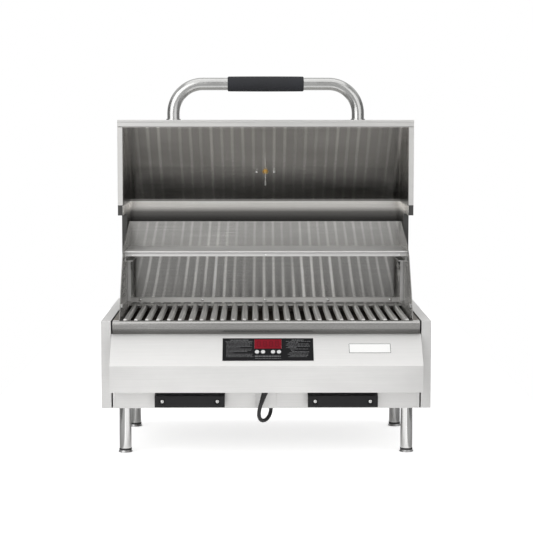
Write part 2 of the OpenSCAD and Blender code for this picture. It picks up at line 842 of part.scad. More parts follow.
module handle_pipe(r) {
    post_x = handle_span / 2;
    bend_d = handle_bar_d + handle_bend;
    bar_half = post_x - handle_bend;
    post_end = front_at(lid_wall, handle_z + handle_dia).x;
    both_sides() {
        d_rod(r, post_x, handle_z, bend_d, post_end);
        translate([bar_half, bend_d, handle_z]) rotate([0, 0, -90])
            rotate_extrude(angle = 90) translate([handle_bend, 0]) rotate(90) circle(r);
        translate([0, handle_bar_d, handle_z]) rotate([0, 90, 0]) cylinder(r = r, h = bar_half);
    }
}
module lid_handle() {
    from_front() color("silver") on_lid() difference() {
        handle_pipe(handle_r);
        handle_pipe(handle_r - handle_wall);
        behind_lid_front();
    }
}
module handle_rings() {
    face_d = front_at(lid_wall, handle_z).x;
    from_front() color("silver") on_lid() both_sides() difference() {
        d_rod(base_ring_r, handle_span / 2, handle_z, outer_low.x - base_ring_l, face_d + 2 * base_ring_r);
        d_rod(handle_r + pin_gap, handle_span / 2, handle_z, -casing_d, casing_d);
        behind_lid_front();
        along_x(-insert_half, insert_half) translate(hem_at) circle(hem_r + slide_gap);
    }
}
module lid_grip() {
    from_front() color("#34353a") on_lid() difference() {
        x_rod(grip_dia / 2, -grip_l / 2, grip_l / 2, [handle_bar_d, handle_z]);
        x_rod(handle_r + pin_gap, -grip_l, grip_l, [handle_bar_d, handle_z]);
    }
}

// Thermometer

module thermometer_case() {
    studs = lid_wall + 5;
    from_front() color("silver") at_gauge() {
        difference() {
            cylinder(r = gauge_r, h = gauge_h);
            translate([0, 0, gauge_wall]) cylinder(r = gauge_r - gauge_wall, h = gauge_h);
        }
        translate([0, 0, -lid_wall - stem_l]) cylinder(r = stem_r, h = lid_wall + stem_l + 1);
        for (x = [-stud_x, stud_x]) translate([x, 0, -studs]) cylinder(r = stem_r, h = studs + 1);
        cylinder(r = pointer_pin_r, h = pointer_z + pointer_t);
    }
}
module thermometer_dial() {
    from_front() color("white") at_gauge() translate([0, 0, gauge_wall]) difference() {
        cylinder(r = gauge_r - gauge_wall - pin_gap, h = dial_t);
        translate([0, 0, -1]) cylinder(r = pointer_pin_r + pin_gap, h = dial_t + 2);
    }
}
module thermometer_pointer() {
    long = gauge_r - gauge_wall - 6;
    from_front() color("firebrick") at_gauge() translate([0, 0, pointer_z]) rotate([0, 0, 130]) difference() {
        union() {
            cylinder(r = 3, h = pointer_t);
            linear_extrude(pointer_t) polygon([[-1.5, -8], [1.5, -8], [0.5, long], [-0.5, long]]);
        }
        translate([0, 0, -1]) cylinder(r = pointer_pin_r + pin_gap, h = pointer_t + 2);
    }
}
module thermometer_lens() {
    from_front() color("lightblue", 0.4) at_gauge() translate([0, 0, gauge_h - lens_t - 0.5])
        cylinder(r = gauge_r - gauge_wall, h = lens_t);
}
module stem_nuts() {
    nut_h = 6;
    from_front() color("goldenrod") at_gauge() for (x = [-stud_x, 0, stud_x])
        translate([x, 0, -lid_wall - nut_h]) difference() {
            cylinder(r = x == 0 ? 6.5 : 5, h = nut_h, $fn = 6);
            translate([0, 0, x == 0 ? -1 : 1]) cylinder(r = stem_r + pin_gap, h = nut_h + 1);
        }
}

// Hinge

module hinge_pins() {
    from_front() color("gray") both_sides() {
        x_rod(pin_r, inside_half, pin_end, pivot);
        x_rod(pin_head_r, inside_half - pin_head_h, inside_half, pivot);
    }
}
module hinge_bushings() {
    from_front() color("goldenrod") both_sides() difference() {
        x_rod(bushing_r, cheek_half + slide_gap, insert_half, pivot);
        x_rod(pin_r + pin_gap, cheek_half, insert_half - lid_sheet, pivot);
    }
}
module lid_stop_pins() {
    from_front() color("gray") both_sides() {
        x_rod(stop_r, inside_half, pin_end, stop_at);
        x_rod(pin_head_r, inside_half - pin_head_h, inside_half, stop_at);
    }
}

// Lead

module lead_boot() {
    lean = atan2(boot_u.x, boot_u.z);
    long = norm(boot_top - boot_tip);
    from_front() color("#202022") difference() {
        translate(boot_tip) rotate([0, lean, 0]) cylinder(d1 = lead_dia + 1, d2 = boot_dia, h = long + 6);
        box([-60, 60], [-60, 0], [skirt_low_z, skirt_low_z + 40]);
    }
}
module control_lead() {
    ring = [for (i = [0 : lead_rings - 1]) let (t = i / (lead_rings - 1), c = bezier(lead_p, t),
        u = bezier_u(lead_p, t), a = cross(u, [1, 0, 0]) / norm(cross(u, [1, 0, 0])), b = cross(u, a))
        for (k = [0 : lead_sides - 1]) let (w = 360 * k / lead_sides)
            c + lead_dia / 2 * (cos(w) * a + sin(w) * b)];
    side = [for (i = [0 : lead_rings - 2], k = [0 : lead_sides - 1]) let (m = (k + 1) % lead_sides,
        p = i * lead_sides) each [[p + k, p + m, p + lead_sides + k],
            [p + m, p + lead_sides + m, p + lead_sides + k]]];
    last = (lead_rings - 1) * lead_sides;
    caps = [[for (k = [lead_sides - 1 : -1 : 0]) k], [for (k = [0 : lead_sides - 1]) last + k]];
    from_front() color("#202022") polyhedron(ring, concat(side, caps));
}

casing_side_left();
casing_side_right();
casing_back();
casing_floor();
front_panel();
legs();
foot_pads();
leg_bolts();
firebox();
rear_deck();
front_bullnose();
cheek_left();
cheek_right();
cheek_bolts();
rear_wall();
rear_rail();
warming_shelf();
shelf_brackets();
shelf_rivets();
grate_left();
grate_center();
grate_right();
heating_element();
element_supports();
temperature_probe();
control_housing();
control_fascia();
display_window();
button_1();
button_2();
button_3();
button_4();
badge_plate();
control_board();
terminal_block();
cord_glands();
tray_runners();
drip_tray_left();
drip_tray_right();
tray_front_left();
tray_front_right();
tray_handle_left();
tray_handle_right();
tray_screws_left();
tray_screws_right();
lid_skin();
lid_liner();
lid_handle();
handle_rings();
lid_grip();
thermometer_case();
thermometer_dial();
thermometer_pointer();
thermometer_lens();
stem_nuts();
hinge_pins();
hinge_bushings();
lid_stop_pins();
lead_boot();
control_lead();
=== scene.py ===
"""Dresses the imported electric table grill: sheet-metal finishes, grate bars, fasteners, dial, grip, lead."""
import json
import math

import bmesh
import bpy
from mathutils import Matrix, Vector


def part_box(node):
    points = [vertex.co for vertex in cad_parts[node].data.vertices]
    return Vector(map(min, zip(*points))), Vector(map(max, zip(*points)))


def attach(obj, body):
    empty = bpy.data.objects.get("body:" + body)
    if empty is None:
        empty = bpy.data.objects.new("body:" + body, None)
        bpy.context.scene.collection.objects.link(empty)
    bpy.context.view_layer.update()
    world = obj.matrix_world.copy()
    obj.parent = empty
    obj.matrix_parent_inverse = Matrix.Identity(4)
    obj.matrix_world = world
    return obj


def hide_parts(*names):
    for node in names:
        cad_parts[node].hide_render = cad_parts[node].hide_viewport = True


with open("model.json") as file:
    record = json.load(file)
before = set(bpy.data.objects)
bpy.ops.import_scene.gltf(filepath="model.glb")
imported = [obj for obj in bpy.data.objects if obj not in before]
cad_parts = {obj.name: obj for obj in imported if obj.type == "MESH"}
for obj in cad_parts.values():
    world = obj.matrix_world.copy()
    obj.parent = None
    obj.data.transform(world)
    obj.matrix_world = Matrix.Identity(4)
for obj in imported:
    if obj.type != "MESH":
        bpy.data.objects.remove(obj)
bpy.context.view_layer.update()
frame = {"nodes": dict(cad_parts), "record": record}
nodes = frame["nodes"]
scene = bpy.context.scene

# Places that pass through at() or MM are in millimetres, all others in metres.
MM = 0.001
FRONT_Y = -0.2265
SLOPE_TOP = 311.0
HANDLE_DEPTH = 209.0
BAR_PITCH = 27.0
GRATE_BARS = 9
FRONT, RIGHT, LEFT, UP = (0, -1, 0), (1, 0, 0), (-1, 0, 0), (0, 0, 1)
SLOPE_OUT = (0.0, -math.sqrt(0.5), math.sqrt(0.5))
GAUGE_MID, GAUGE_OUT = (0.0, 0.11116, 0.71096), (0.0, 0.62549, 0.78025)
DIAL_SWEEP = 260.0

# Brushed grain: noise scales per metre, swing in gloss, depth, strength, way and range of its tint.
GRAIN_ALONG, GRAIN_ACROSS = 5.0, 900.0
GRAIN_GLOSS, GRAIN_DEPTH, GRAIN_STRENGTH = 0.04, 0.00003, 0.4
GRAIN_WAY = (1.0, 0.03, 0.02)
GRAIN_TINT = (0.15, 0.38)
SMUDGE_SCALE = (5.0, 8.0, 8.0)
# Speckle: scale and swing in gloss of its soft patches, strength of its fine bump.
PATCH_SCALE, PATCH_GLOSS, SPECKLE_STRENGTH = (14.0, 14.0, 14.0), 0.06, 0.5
# Limits of a face's normal: along X it looks sideways, along Y partly or straight to the front.
SIDEWAYS, PARTLY_FRONT, STRAIGHT_FRONT = 0.75, -0.3, -0.7
# Painted reflections of the grate bars: lines that keep the bars' pitch at this height; they wander, differ in
# strength and have a narrow crest.
STREAK_FOOT = 0.362
STREAK_WANDER, WANDER_SCALE = 2.2, (11.0, 3.0, 4.0)
FAINTEST_STREAK, STREAK_SCALE = 0.2, (19.0, 0.5, 1.5)
STREAK_CREST = 0.35

# Levels of light: in reflections the room, its ceiling and its dark sides; on rough faces the fill.
ROOM_LEVEL, CEILING_LEVEL, SIDE_LEVEL, FILL_LEVEL = 0.57, 0.55, 0.25, 0.55
# Where they fade, as parts of a direction: Y to the backdrop, Z to the ceiling, |X| and |Z| to the sides.
BACKDROP_FADE, CEILING_FADE = (-0.35, 0.25), (0.15, 0.85)
SIDE_FADE, UPRIGHT_FADE = (0.42, 0.62), (0.3, 0.55)
# Soft boxes: name, place, width and power.
SOFT_BOXES = (("key", (-2.6, -3.2, 1.9), 4.0, 88.0), ("fill", (2.8, -3.2, 1.5), 3.6, 40.0),
              ("top", (0.0, -0.5, 2.9), 3.0, 26.0))
LAMP_TARGET = (0.0, 0.0, 0.4)
# Floor: half width, near and far edge, glow to the camera and in reflections, fading with Y and |X| in mm.
FLOOR_REACH = (0.8, -1.3, 3.0)
FLOOR_COLOUR, FLOOR_ROUGH = (0.9, 0.9, 0.9), 0.9
FLOOR_SEEN, FLOOR_MIRRORED, FLOOR_FADE = 0.62, 0.4, (-0.3, 0.1)
FLOOR_BANDS = ((0, 0.85), (250, 0.8), (310, 1.0), (385, 1.0), (425, 0.3))
# Camera: place, focal length and sensor in millimetres, tilt and pan in degrees.
CAMERA_PLACE = (-0.0284, -4.1846, 0.8332)
CAMERA_LENS, SENSOR_WIDTH = 109.45, 36.0
CAMERA_DOWN, CAMERA_PAN = 5.138, -0.42


def at(x, depth, z):
    """A point in the shared frame from millimetres: x, depth behind the casing front, height."""
    return Vector((x * MM, depth * MM + FRONT_Y, z * MM))


def in_metres(profile):
    """A profile or outline given in millimetres, in metres."""
    return [(a * MM, b * MM) for a, b in profile]


def add_node(tree, kind, inputs=None, **settings):
    """A shader or geometry node with its settings made and its inputs linked or filled in."""
    node = tree.nodes.new(kind)
    for key, value in settings.items():
        setattr(node, key, value)
    for key, value in (inputs or {}).items():
        if isinstance(value, bpy.types.NodeSocket):
            tree.links.new(value, node.inputs[key])
        else:
            node.inputs[key].default_value = value
    return node


def calc(tree, operation, *values):
    """One maths step on numbers and sockets."""
    return add_node(tree, "ShaderNodeMath", dict(enumerate(values)), operation=operation).outputs[0]


def parts_of(tree, vector):
    """The sockets X, Y and Z of a vector."""
    return add_node(tree, "ShaderNodeSeparateXYZ", {0: vector}).outputs


def new_finish(name, colour, rough, metal=0.0, **sockets):
    """A finish whose constants are set on the shader's own sockets."""
    finish = bpy.data.materials.new(name)
    finish.use_nodes = True
    shader = finish.node_tree.nodes["Principled BSDF"]
    values = {"Base Color": (*colour, 1.0), "Roughness": rough, "Metallic": metal, **sockets}
    for socket, value in values.items():
        shader.inputs[socket].default_value = value
    return finish, finish.node_tree, shader


def noise(tree, place, stretch, detail=3.0, rough=0.55):
    """Noise on the piece's own coordinates, stretched by its three scales."""
    spread = add_node(tree, "ShaderNodeMapping", {"Vector": place, "Scale": stretch})
    inputs = {"Vector": spread.outputs[0], "Scale": 1.0, "Detail": detail, "Roughness": rough}
    return add_node(tree, "ShaderNodeTexNoise", inputs).outputs["Fac"]


def between(tree, value, low, high, start=0.3, stop=0.7):
    """The run of a value from start to stop, spread over the range from low to high."""
    inputs = {"Value": value, "From Min": start, "From Max": stop, "To Min": low, "To Max": high}
    return add_node(tree, "ShaderNodeMapRange", inputs).outputs["Result"]


def tint(tree, share, dark, light):
    """A colour that runs from dark to light with a share."""
    mix = add_node(tree, "ShaderNodeMix", {"Factor": share}, data_type="RGBA")
    for socket in mix.inputs:
        if socket.type == "RGBA":
            socket.default_value = (*(dark if socket.name == "A" else light), 1.0)
    return next(s for s in mix.outputs if s.type == "RGBA")


def shade(colour, factor):
    """A colour made lighter or darker by a number."""
    return tuple(min(1.0, c * factor) for c in colour)


def scaled(tree, colours, share):
    """A colour socket made lighter or darker by a share."""
    step = add_node(tree, "ShaderNodeVectorMath", {0: colours, "Scale": share}, operation="SCALE")
    return step.outputs[0]


def by_stops(tree, place, stops):
    """A level that follows a place in metres, between stops in millimetres."""
    (low, first), (high, last) = stops[0], stops[-1]
    run = between(tree, place, 0.0, 1.0, low * MM, high * MM)
    ramp = add_node(tree, "ShaderNodeValToRGB", {"Fac": run})
    marks = ramp.color_ramp.elements
    for mark, level in ((marks[0], first), (marks[1], last)):
        mark.color = (level, level, level, 1.0)
    for stop, level in stops[1:-1]:
        marks.new((stop - low) / (high - low)).color = (level, level, level, 1.0)
    return ramp.outputs["Color"]


def raise_grain(tree, shader, height, depth, strength, edge=0.0):
    """Bump of a set depth in metres, over edges that are softened by a small radius."""
    inputs = {"Height": height, "Strength": strength, "Distance": depth}
    if edge:
        soft = add_node(tree, "ShaderNodeBevel", {"Radius": edge}, samples=4)
        inputs["Normal"] = soft.outputs[0]
    bump = add_node(tree, "ShaderNodeBump", inputs)
    tree.links.new(bump.outputs[0], shader.inputs["Normal"])


def painted_bar_reflections(tree, place, ahead, strength, fan, reach):
    """Painted reflections of the grate bars: bright upright lines over the bars on faces that look ahead,
    drawn together towards the top by a fan, and strong by height as the stops in reach say."""
    spot = parts_of(tree, place)
    spread = calc(tree, "MULTIPLY_ADD", spot["Z"], fan, 1.0 - fan * STREAK_FOOT)
    across = calc(tree, "MULTIPLY", spot["X"], spread)
    turns = calc(tree, "MULTIPLY", across, math.tau / (BAR_PITCH * MM))
    wander = noise(tree, place, WANDER_SCALE, 3.0)
    wave = calc(tree, "COSINE", calc(tree, "MULTIPLY_ADD", wander, STREAK_WANDER, turns))
    crest = between(tree, wave, 0.0, 1.0, STREAK_CREST, 1.0)
    each = between(tree, noise(tree, place, STREAK_SCALE, 1.0), FAINTEST_STREAK * strength, strength)
    line = calc(tree, "MULTIPLY", crest, by_stops(tree, spot["Z"], reach))
    return calc(tree, "MULTIPLY_ADD", calc(tree, "MULTIPLY", line, ahead), each, 1.0)


def brushed_sheet(name, colour, rough, scatter, smudge=0.05, contrast=0.05, edge=0.0008, painted_reflection_lines=(),
                  painted_shading=(), painted_shade=(), metal=1.0):
    """Brushed sheet: grain along X, or along Y on faces that look sideways, and light scattered across it.
    Painted reflections of the grate bars make upright lines, painted light and shade scale it by height, and
    painted shade darkens front faces below a height."""
    finish, tree, shader = new_finish(name, colour, rough, metal, Anisotropic=scatter)
    coords = add_node(tree, "ShaderNodeTexCoord").outputs
    place = coords["Object"]
    up = parts_of(tree, place)["Z"]
    facing = parts_of(tree, coords["Normal"])
    sideways = calc(tree, "GREATER_THAN", calc(tree, "ABSOLUTE", facing["X"]), SIDEWAYS)
    along_x = noise(tree, place, (GRAIN_ALONG, GRAIN_ACROSS, GRAIN_ACROSS), 4.0, 0.65)
    along_y = noise(tree, place, (GRAIN_ACROSS, GRAIN_ALONG, GRAIN_ACROSS), 4.0, 0.65)
    chosen = add_node(tree, "ShaderNodeMix", {"Factor": sideways, "A": along_x, "B": along_y})
    grain = chosen.outputs["Result"]
    marks = noise(tree, place, SMUDGE_SCALE, 4.0, 0.6)
    gloss = calc(tree, "ADD", between(tree, grain, rough - GRAIN_GLOSS, rough + GRAIN_GLOSS),
                 between(tree, marks, -smudge, smudge))
    tree.links.new(gloss, shader.inputs["Roughness"])
    share = between(tree, calc(tree, "MULTIPLY", grain, marks), 0.0, 1.0, *GRAIN_TINT)
    colours = tint(tree, share, shade(colour, 1.0 - contrast), shade(colour, 1.0 + contrast))
    # Painted reflections of the grate bars: bright upright lines scaled into the colour.
    if painted_reflection_lines:
        ahead = calc(tree, "LESS_THAN", facing["Y"], PARTLY_FRONT)
        colours = scaled(tree, colours, painted_bar_reflections(tree, place, ahead, *painted_reflection_lines))
    # Painted light and shade by height.
    if painted_shading:
        colours = scaled(tree, colours, by_stops(tree, up, painted_shading))
    # Painted shade: front faces below a height are darkened.
    if painted_shade:
        height, level = painted_shade
        low = calc(tree, "LESS_THAN", up, height * MM)
        shaded_faces = calc(tree, "MULTIPLY", low, calc(tree, "LESS_THAN", facing["Y"], STRAIGHT_FRONT))
        colours = scaled(tree, colours, calc(tree, "MULTIPLY_ADD", shaded_faces, level - 1.0, 1.0))
    tree.links.new(colours, shader.inputs["Base Color"])
    normal = add_node(tree, "ShaderNodeNewGeometry").outputs["Normal"]
    across = add_node(tree, "ShaderNodeVectorMath", {0: GRAIN_WAY, 1: normal}, operation="CROSS_PRODUCT")
    tree.links.new(across.outputs[0], shader.inputs["Tangent"])
    raise_grain(tree, shader, grain, GRAIN_DEPTH, GRAIN_STRENGTH, edge)
    return finish


def speckled(name, colour, rough, scale, contrast, metal=0.0, depth=0.00005, specular=0.5):
    """A moulded, cast or painted finish: fine grain in the bump, soft patches in the colour and gloss."""
    finish, tree, shader = new_finish(name, colour, rough, metal, **{"Specular IOR Level": specular})
    place = add_node(tree, "ShaderNodeTexCoord").outputs["Object"]
    fine = noise(tree, place, (scale, scale, scale), 3.0)
    broad = noise(tree, place, PATCH_SCALE, 4.0)
    share = between(tree, broad, 0.0, 1.0)
    colours = tint(tree, share, shade(colour, 1.0 - contrast), shade(colour, 1.0 + contrast))
    tree.links.new(colours, shader.inputs["Base Color"])
    gloss = between(tree, broad, rough - PATCH_GLOSS, rough + PATCH_GLOSS)
    tree.links.new(gloss, shader.inputs["Roughness"])
    raise_grain(tree, shader, fine, depth, SPECKLE_STRENGTH)
    return finish


# Stops of height in millimetres and level: painted light and shade scale the colour; for the painted bar
# reflections they set the strength of the lines.
LINER_PAINTED_SHADING = ((572, 0.2), (588, 0.36), (602, 1.4), (616, 1.6), (618, 0.4), (660, 0.5), (720, 0.78),
               (790, 0.8))
LINER_PAINTED_REFLECTIONS = ((616, 0.0), (620, 0.5), (700, 0.8), (790, 1.0))
WALL_PAINTED_SHADING = ((362, 0.92), (420, 0.98), (480, 1.06), (500, 1.18), (565, 1.32))
WALL_PAINTED_REFLECTIONS = ((362, 1.0), (470, 0.8), (492, 0.3), (565, 0.2))
NOSE_PAINTED_REFLECTION = ((314, 0.5), (321, 0.55), (325, 1.05), (340, 1.2), (346, 0.9))
HOUSING_PAINTED_SHADING = ((176, 1.05), (235, 1.05), (242, 1.06), (311, 0.9))
# Painted shade on the lid's lower rim: height in millimetres and the level it darkens to.
LID_PAINTED_SHADE = (618.0, 0.14)
# Wall and liner carry painted reflections of the grate bars and painted light and shade by height; bullnose
# and housing carry painted light and shade by height; the lid carries painted shade on its lower rim.
SHEETS = {
    "outer_steel": dict(colour=(0.76, 0.755, 0.745), rough=0.52, scatter=0.3),
    "inner_steel": dict(colour=(0.62, 0.61, 0.595), rough=0.22, scatter=0.7, contrast=0.08),
    # A darker copy of the inner steel: painted shade.
    "wall_steel": dict(colour=(0.43, 0.425, 0.413), rough=0.22, scatter=1.0, smudge=0.03, contrast=0.12,
                       painted_reflection_lines=(1.7, 0.68, WALL_PAINTED_REFLECTIONS), painted_shading=WALL_PAINTED_SHADING),
    "cheek_steel": dict(colour=(0.33, 0.325, 0.315), rough=0.25, scatter=0.9, smudge=0.04, contrast=0.12),
    "liner_steel": dict(colour=(0.6, 0.585, 0.56), rough=0.2, scatter=1.0, smudge=0.03, contrast=0.12,
                        painted_reflection_lines=(0.6, 0.0, LINER_PAINTED_REFLECTIONS), painted_shading=LINER_PAINTED_SHADING),
    # A darker copy of the inner steel: painted shade.
    "nose_steel": dict(colour=(0.4, 0.395, 0.385), rough=0.24, scatter=0.4, smudge=0.02, contrast=0.03,
                       painted_shading=NOSE_PAINTED_REFLECTION),
    "lid_steel": dict(colour=(0.7, 0.695, 0.68), rough=0.52, scatter=0.3, painted_shade=LID_PAINTED_SHADE),
    "housing_steel": dict(colour=(0.75, 0.745, 0.735), rough=0.52, scatter=0.3, painted_shading=HOUSING_PAINTED_SHADING),
    "grate_steel": dict(colour=(0.74, 0.73, 0.71), rough=0.36, scatter=0.3, contrast=0.15, edge=0.0,
                        metal=0.75),
}
GRAINED = {
    "leg_steel": dict(colour=(0.78, 0.78, 0.77), rough=0.12, scale=500.0, contrast=0.05, metal=1.0,
                      depth=0.00002),
    "handle_steel": dict(colour=(0.56, 0.56, 0.55), rough=0.24, scale=500.0, contrast=0.05, metal=1.0,
                         depth=0.00002),
    "burnt_steel": dict(colour=(0.16, 0.14, 0.12), rough=0.55, scale=300.0, contrast=0.35, metal=0.3),
    "fastener_steel": dict(colour=(0.62, 0.62, 0.61), rough=0.25, scale=600.0, contrast=0.1, metal=1.0),
    "foot_steel": dict(colour=(0.5, 0.5, 0.5), rough=0.3, scale=600.0, contrast=0.1, metal=1.0),
    "bright_rivet": dict(colour=(0.85, 0.85, 0.84), rough=0.3, scale=600.0, contrast=0.05, metal=0.2),
    "element_metal": dict(colour=(0.06, 0.055, 0.05), rough=0.5, scale=500.0, contrast=0.3, metal=0.6),
    "button_silver": dict(colour=(0.6, 0.6, 0.6), rough=0.3, scale=700.0, contrast=0.05, metal=0.9),
    "brass": dict(colour=(0.78, 0.53, 0.2), rough=0.3, scale=500.0, contrast=0.1, metal=0.9),
    "foot_rubber": dict(colour=(0.022, 0.022, 0.023), rough=0.6, scale=700.0, contrast=0.2),
    "grip_foam": dict(colour=(0.017, 0.018, 0.022), rough=0.8, scale=900.0, contrast=0.25, depth=0.0003),
    "black_plastic": dict(colour=(0.011, 0.011, 0.012), rough=0.5, scale=900.0, contrast=0.15,
                          depth=0.00008, specular=0.3),
    "lead_rubber": dict(colour=(0.014, 0.014, 0.015), rough=0.5, scale=700.0, contrast=0.2),
    "fascia_black": dict(colour=(0.006, 0.006, 0.007), rough=0.4, scale=800.0, contrast=0.15,
                         depth=0.00002, specular=0.12),
    "display_red": dict(colour=(0.2, 0.007, 0.016), rough=0.3, scale=300.0, contrast=0.1,
                        depth=0.00001, specular=0.06),
    "segment_red": dict(colour=(0.1, 0.004, 0.01), rough=0.4, scale=300.0, contrast=0.1,
                        depth=0.00001, specular=0.06),
    "badge_white": dict(colour=(0.82, 0.82, 0.81), rough=0.35, scale=600.0, contrast=0.02, depth=0.00002),
    "print_grey": dict(colour=(0.22, 0.22, 0.225), rough=0.6, scale=900.0, contrast=0.1,
                       depth=0.00001, specular=0.2),
    "board_green": dict(colour=(0.02, 0.12, 0.05), rough=0.45, scale=500.0, contrast=0.2),
    "dial_white": dict(colour=(0.8, 0.8, 0.78), rough=0.45, scale=600.0, contrast=0.02, depth=0.00002),
    "pointer_red": dict(colour=(0.45, 0.03, 0.025), rough=0.4, scale=600.0, contrast=0.1, depth=0.00002),
}
LENS_GLASS = {"Transmission Weight": 1.0, "IOR": 1.46}
FINISHES = {name: brushed_sheet(name, **look) for name, look in SHEETS.items()}
FINISHES.update({name: speckled(name, **look) for name, look in GRAINED.items()})
FINISHES["gauge_lens"] = new_finish("gauge_lens", (0.95, 0.97, 0.97), 0.03, 0.0, **LENS_GLASS)[0]
OWN_FINISH = {
    "rear_wall": "wall_steel", "cheek_left": "cheek_steel", "cheek_right": "cheek_steel",
    "lid_liner": "liner_steel", "front_bullnose": "nose_steel", "legs": "leg_steel",
    "rear_rail": "grate_steel", "lid_skin": "lid_steel", "control_housing": "housing_steel",
    "warming_shelf": "outer_steel", "firebox": "burnt_steel", "shelf_brackets": "outer_steel",
}
for part in frame["record"]["subparts"]:
    slots = nodes[part["node"]].data.materials
    for index in range(len(slots)):
        slots[index] = FINISHES[OWN_FINISH.get(part["node"], part["material_slot"])]


def place_piece(name, mesh, slot, body, stands_for=(), crease=40.0, finish=None):
    """A finished piece at the origin that rides on a body and stands for the CAD nodes it replaces."""
    mesh.name = name
    if not mesh.materials:
        mesh.materials.append(finish or FINISHES[slot])
    mesh.shade_smooth()
    mesh.set_sharp_from_angle(angle=math.radians(crease))
    piece = bpy.data.objects.new(name, mesh)
    scene.collection.objects.link(piece)
    even = piece.modifiers.new("flat_faces", "WEIGHTED_NORMAL")
    even.keep_sharp = True
    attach(piece, body)
    if stands_for:
        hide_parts(*stands_for)
    return piece


def merge(shape):
    """Joins the points of a shape that lie in one place."""
    bmesh.ops.remove_doubles(shape, verts=shape.verts, dist=1e-6)


def as_mesh(shape):
    """A mesh from a worked shape, with its doubles merged and its faces turned outwards."""
    merge(shape)
    bmesh.ops.recalc_face_normals(shape, faces=shape.faces)
    mesh = bpy.data.meshes.new("shape")
    shape.to_mesh(mesh)
    shape.free()
    return mesh


def turned(profile, sides=32, closed=False):
    """A solid turned about Z from a profile of radii and heights in metres."""
    shape = bmesh.new()
    rings = []
    for radius, height in profile:
        count = sides if radius > 1e-9 else 1
        turns = [math.tau * i / count for i in range(count)]
        rings.append([shape.verts.new((radius * math.cos(t), radius * math.sin(t), height)) for t in turns])
    pairs = list(zip(rings, rings[1:]))
    if closed:
        pairs.append((rings[-1], rings[0]))
    for low, high in pairs:
        for i in range(sides):
            here, there = low[i % len(low)], high[i % len(high)]
            low_next, high_next = low[(i + 1) % len(low)], high[(i + 1) % len(high)]
            loop = list(dict.fromkeys((here, low_next, high_next, there)))
            if len(loop) > 2:
                shape.faces.new(loop)
    return shape


def moved(shape, matrix):
    """The shape itself, moved or turned."""
    bmesh.ops.transform(shape, matrix=matrix, verts=shape.verts)
    return shape


def gather(shapes):
    """One shape from several."""
    whole = bmesh.new()
    for shape in shapes:
        part = bpy.data.meshes.new("part")
        shape.to_mesh(part)
        shape.free()
        whole.from_mesh(part)
        bpy.data.meshes.remove(part)
    return whole


def round_edges(shape, edges, radius, steps):
    """Rounds edges of a shape by a radius."""
    bmesh.ops.bevel(shape, geom=edges, offset=radius, segments=steps, profile=0.5, affect="EDGES",
                    clamp_overlap=True)


def block(low, high, radius=0.0):
    """A box between two corners, its edges rounded."""
    shape = bmesh.new()
    low, high = Vector(low), Vector(high)
    bmesh.ops.create_cube(shape, size=1.0)
    size = high - low
    moved(shape, Matrix.Translation((low + high) / 2.0) @ Matrix.Diagonal((*size, 1.0)))
    if radius:
        round_edges(shape, list(shape.edges), radius, steps=2)
    return shape


def prism(outline, depth, radius=0.0):
    """A straight solid from an outline in XY, from height 0 to depth, with its long edges rounded."""
    shape = bmesh.new()
    face = shape.faces.new([shape.verts.new((x, y, 0.0)) for x, y in outline])
    pulled = bmesh.ops.extrude_face_region(shape, geom=[face])
    top = [v for v in pulled["geom"] if isinstance(v, bmesh.types.BMVert)]
    bmesh.ops.translate(shape, vec=(0.0, 0.0, depth), verts=top)
    bmesh.ops.recalc_face_normals(shape, faces=shape.faces)
    if radius:
        sharp = [e for e in shape.edges if e.calc_face_angle(0.0) > math.radians(25.0)]
        round_edges(shape, sharp, radius, steps=2)
    return shape


def rounded_copy(node, slot, body, radius, steps=2, corners=0.0):
    """A CAD node's shape with truly rounded edges, and wider upper corners, standing for the node."""
    near = 1e-5
    shape = bmesh.new()
    shape.from_mesh(nodes[node].data)
    merge(shape)
    bmesh.ops.dissolve_limit(shape, angle_limit=math.radians(0.2), verts=shape.verts, edges=shape.edges)
    if corners:
        top = max(v.co.z for v in shape.verts)
        left, right = (end(v.co.x for v in shape.verts) for end in (min, max))
        high = [v for v in shape.verts if top - v.co.z < near]
        tips = {v for v in high if min(v.co.x - left, right - v.co.x) < near}
        round_edges(shape, [e for e in shape.edges if tips.issuperset(e.verts)], corners, steps=6)
    sharp = [e for e in shape.edges if e.is_manifold and e.calc_face_angle(0.0) > math.radians(30.0)]
    round_edges(shape, sharp, radius, steps)
    mesh = bpy.data.meshes.new(node)
    bmesh.ops.triangulate(shape, faces=shape.faces)
    shape.to_mesh(mesh)
    shape.free()
    return place_piece(node + "_rounded", mesh, slot, body, [node])


def piece_setter():
    """Node tree that sets a piece at each point of a mesh, its Z axis along the point's facing."""
    tree = bpy.data.node_groups.new("set_pieces", "GeometryNodeTree")
    tree.is_modifier = True
    for label, kind in (("Points", "Geometry"), ("Piece", "Object"), ("Finish", "Material")):
        tree.interface.new_socket(label, in_out="INPUT", socket_type="NodeSocket" + kind)
    tree.interface.new_socket("Pieces", in_out="OUTPUT", socket_type="NodeSocketGeometry")
    given = add_node(tree, "NodeGroupInput").outputs
    facing = add_node(tree, "GeometryNodeInputNamedAttribute", {"Name": "facing"}, data_type="FLOAT_VECTOR")
    way = facing.outputs["Attribute"]
    turn = add_node(tree, "FunctionNodeAlignRotationToVector", {"Vector": way}, axis="Z")
    piece = add_node(tree, "GeometryNodeObjectInfo", {"Object": given["Piece"]})
    spread = add_node(tree, "GeometryNodeInstanceOnPoints", {
        "Points": given["Points"], "Instance": piece.outputs["Geometry"], "Rotation": turn.outputs[0]})
    real = add_node(tree, "GeometryNodeRealizeInstances", {"Geometry": spread.outputs[0]})
    dressed = add_node(tree, "GeometryNodeSetMaterial", {
        "Geometry": real.outputs[0], "Material": given["Finish"]})
    add_node(tree, "NodeGroupOutput", {"Pieces": dressed.outputs[0]})
    return tree


SETTER = piece_setter()


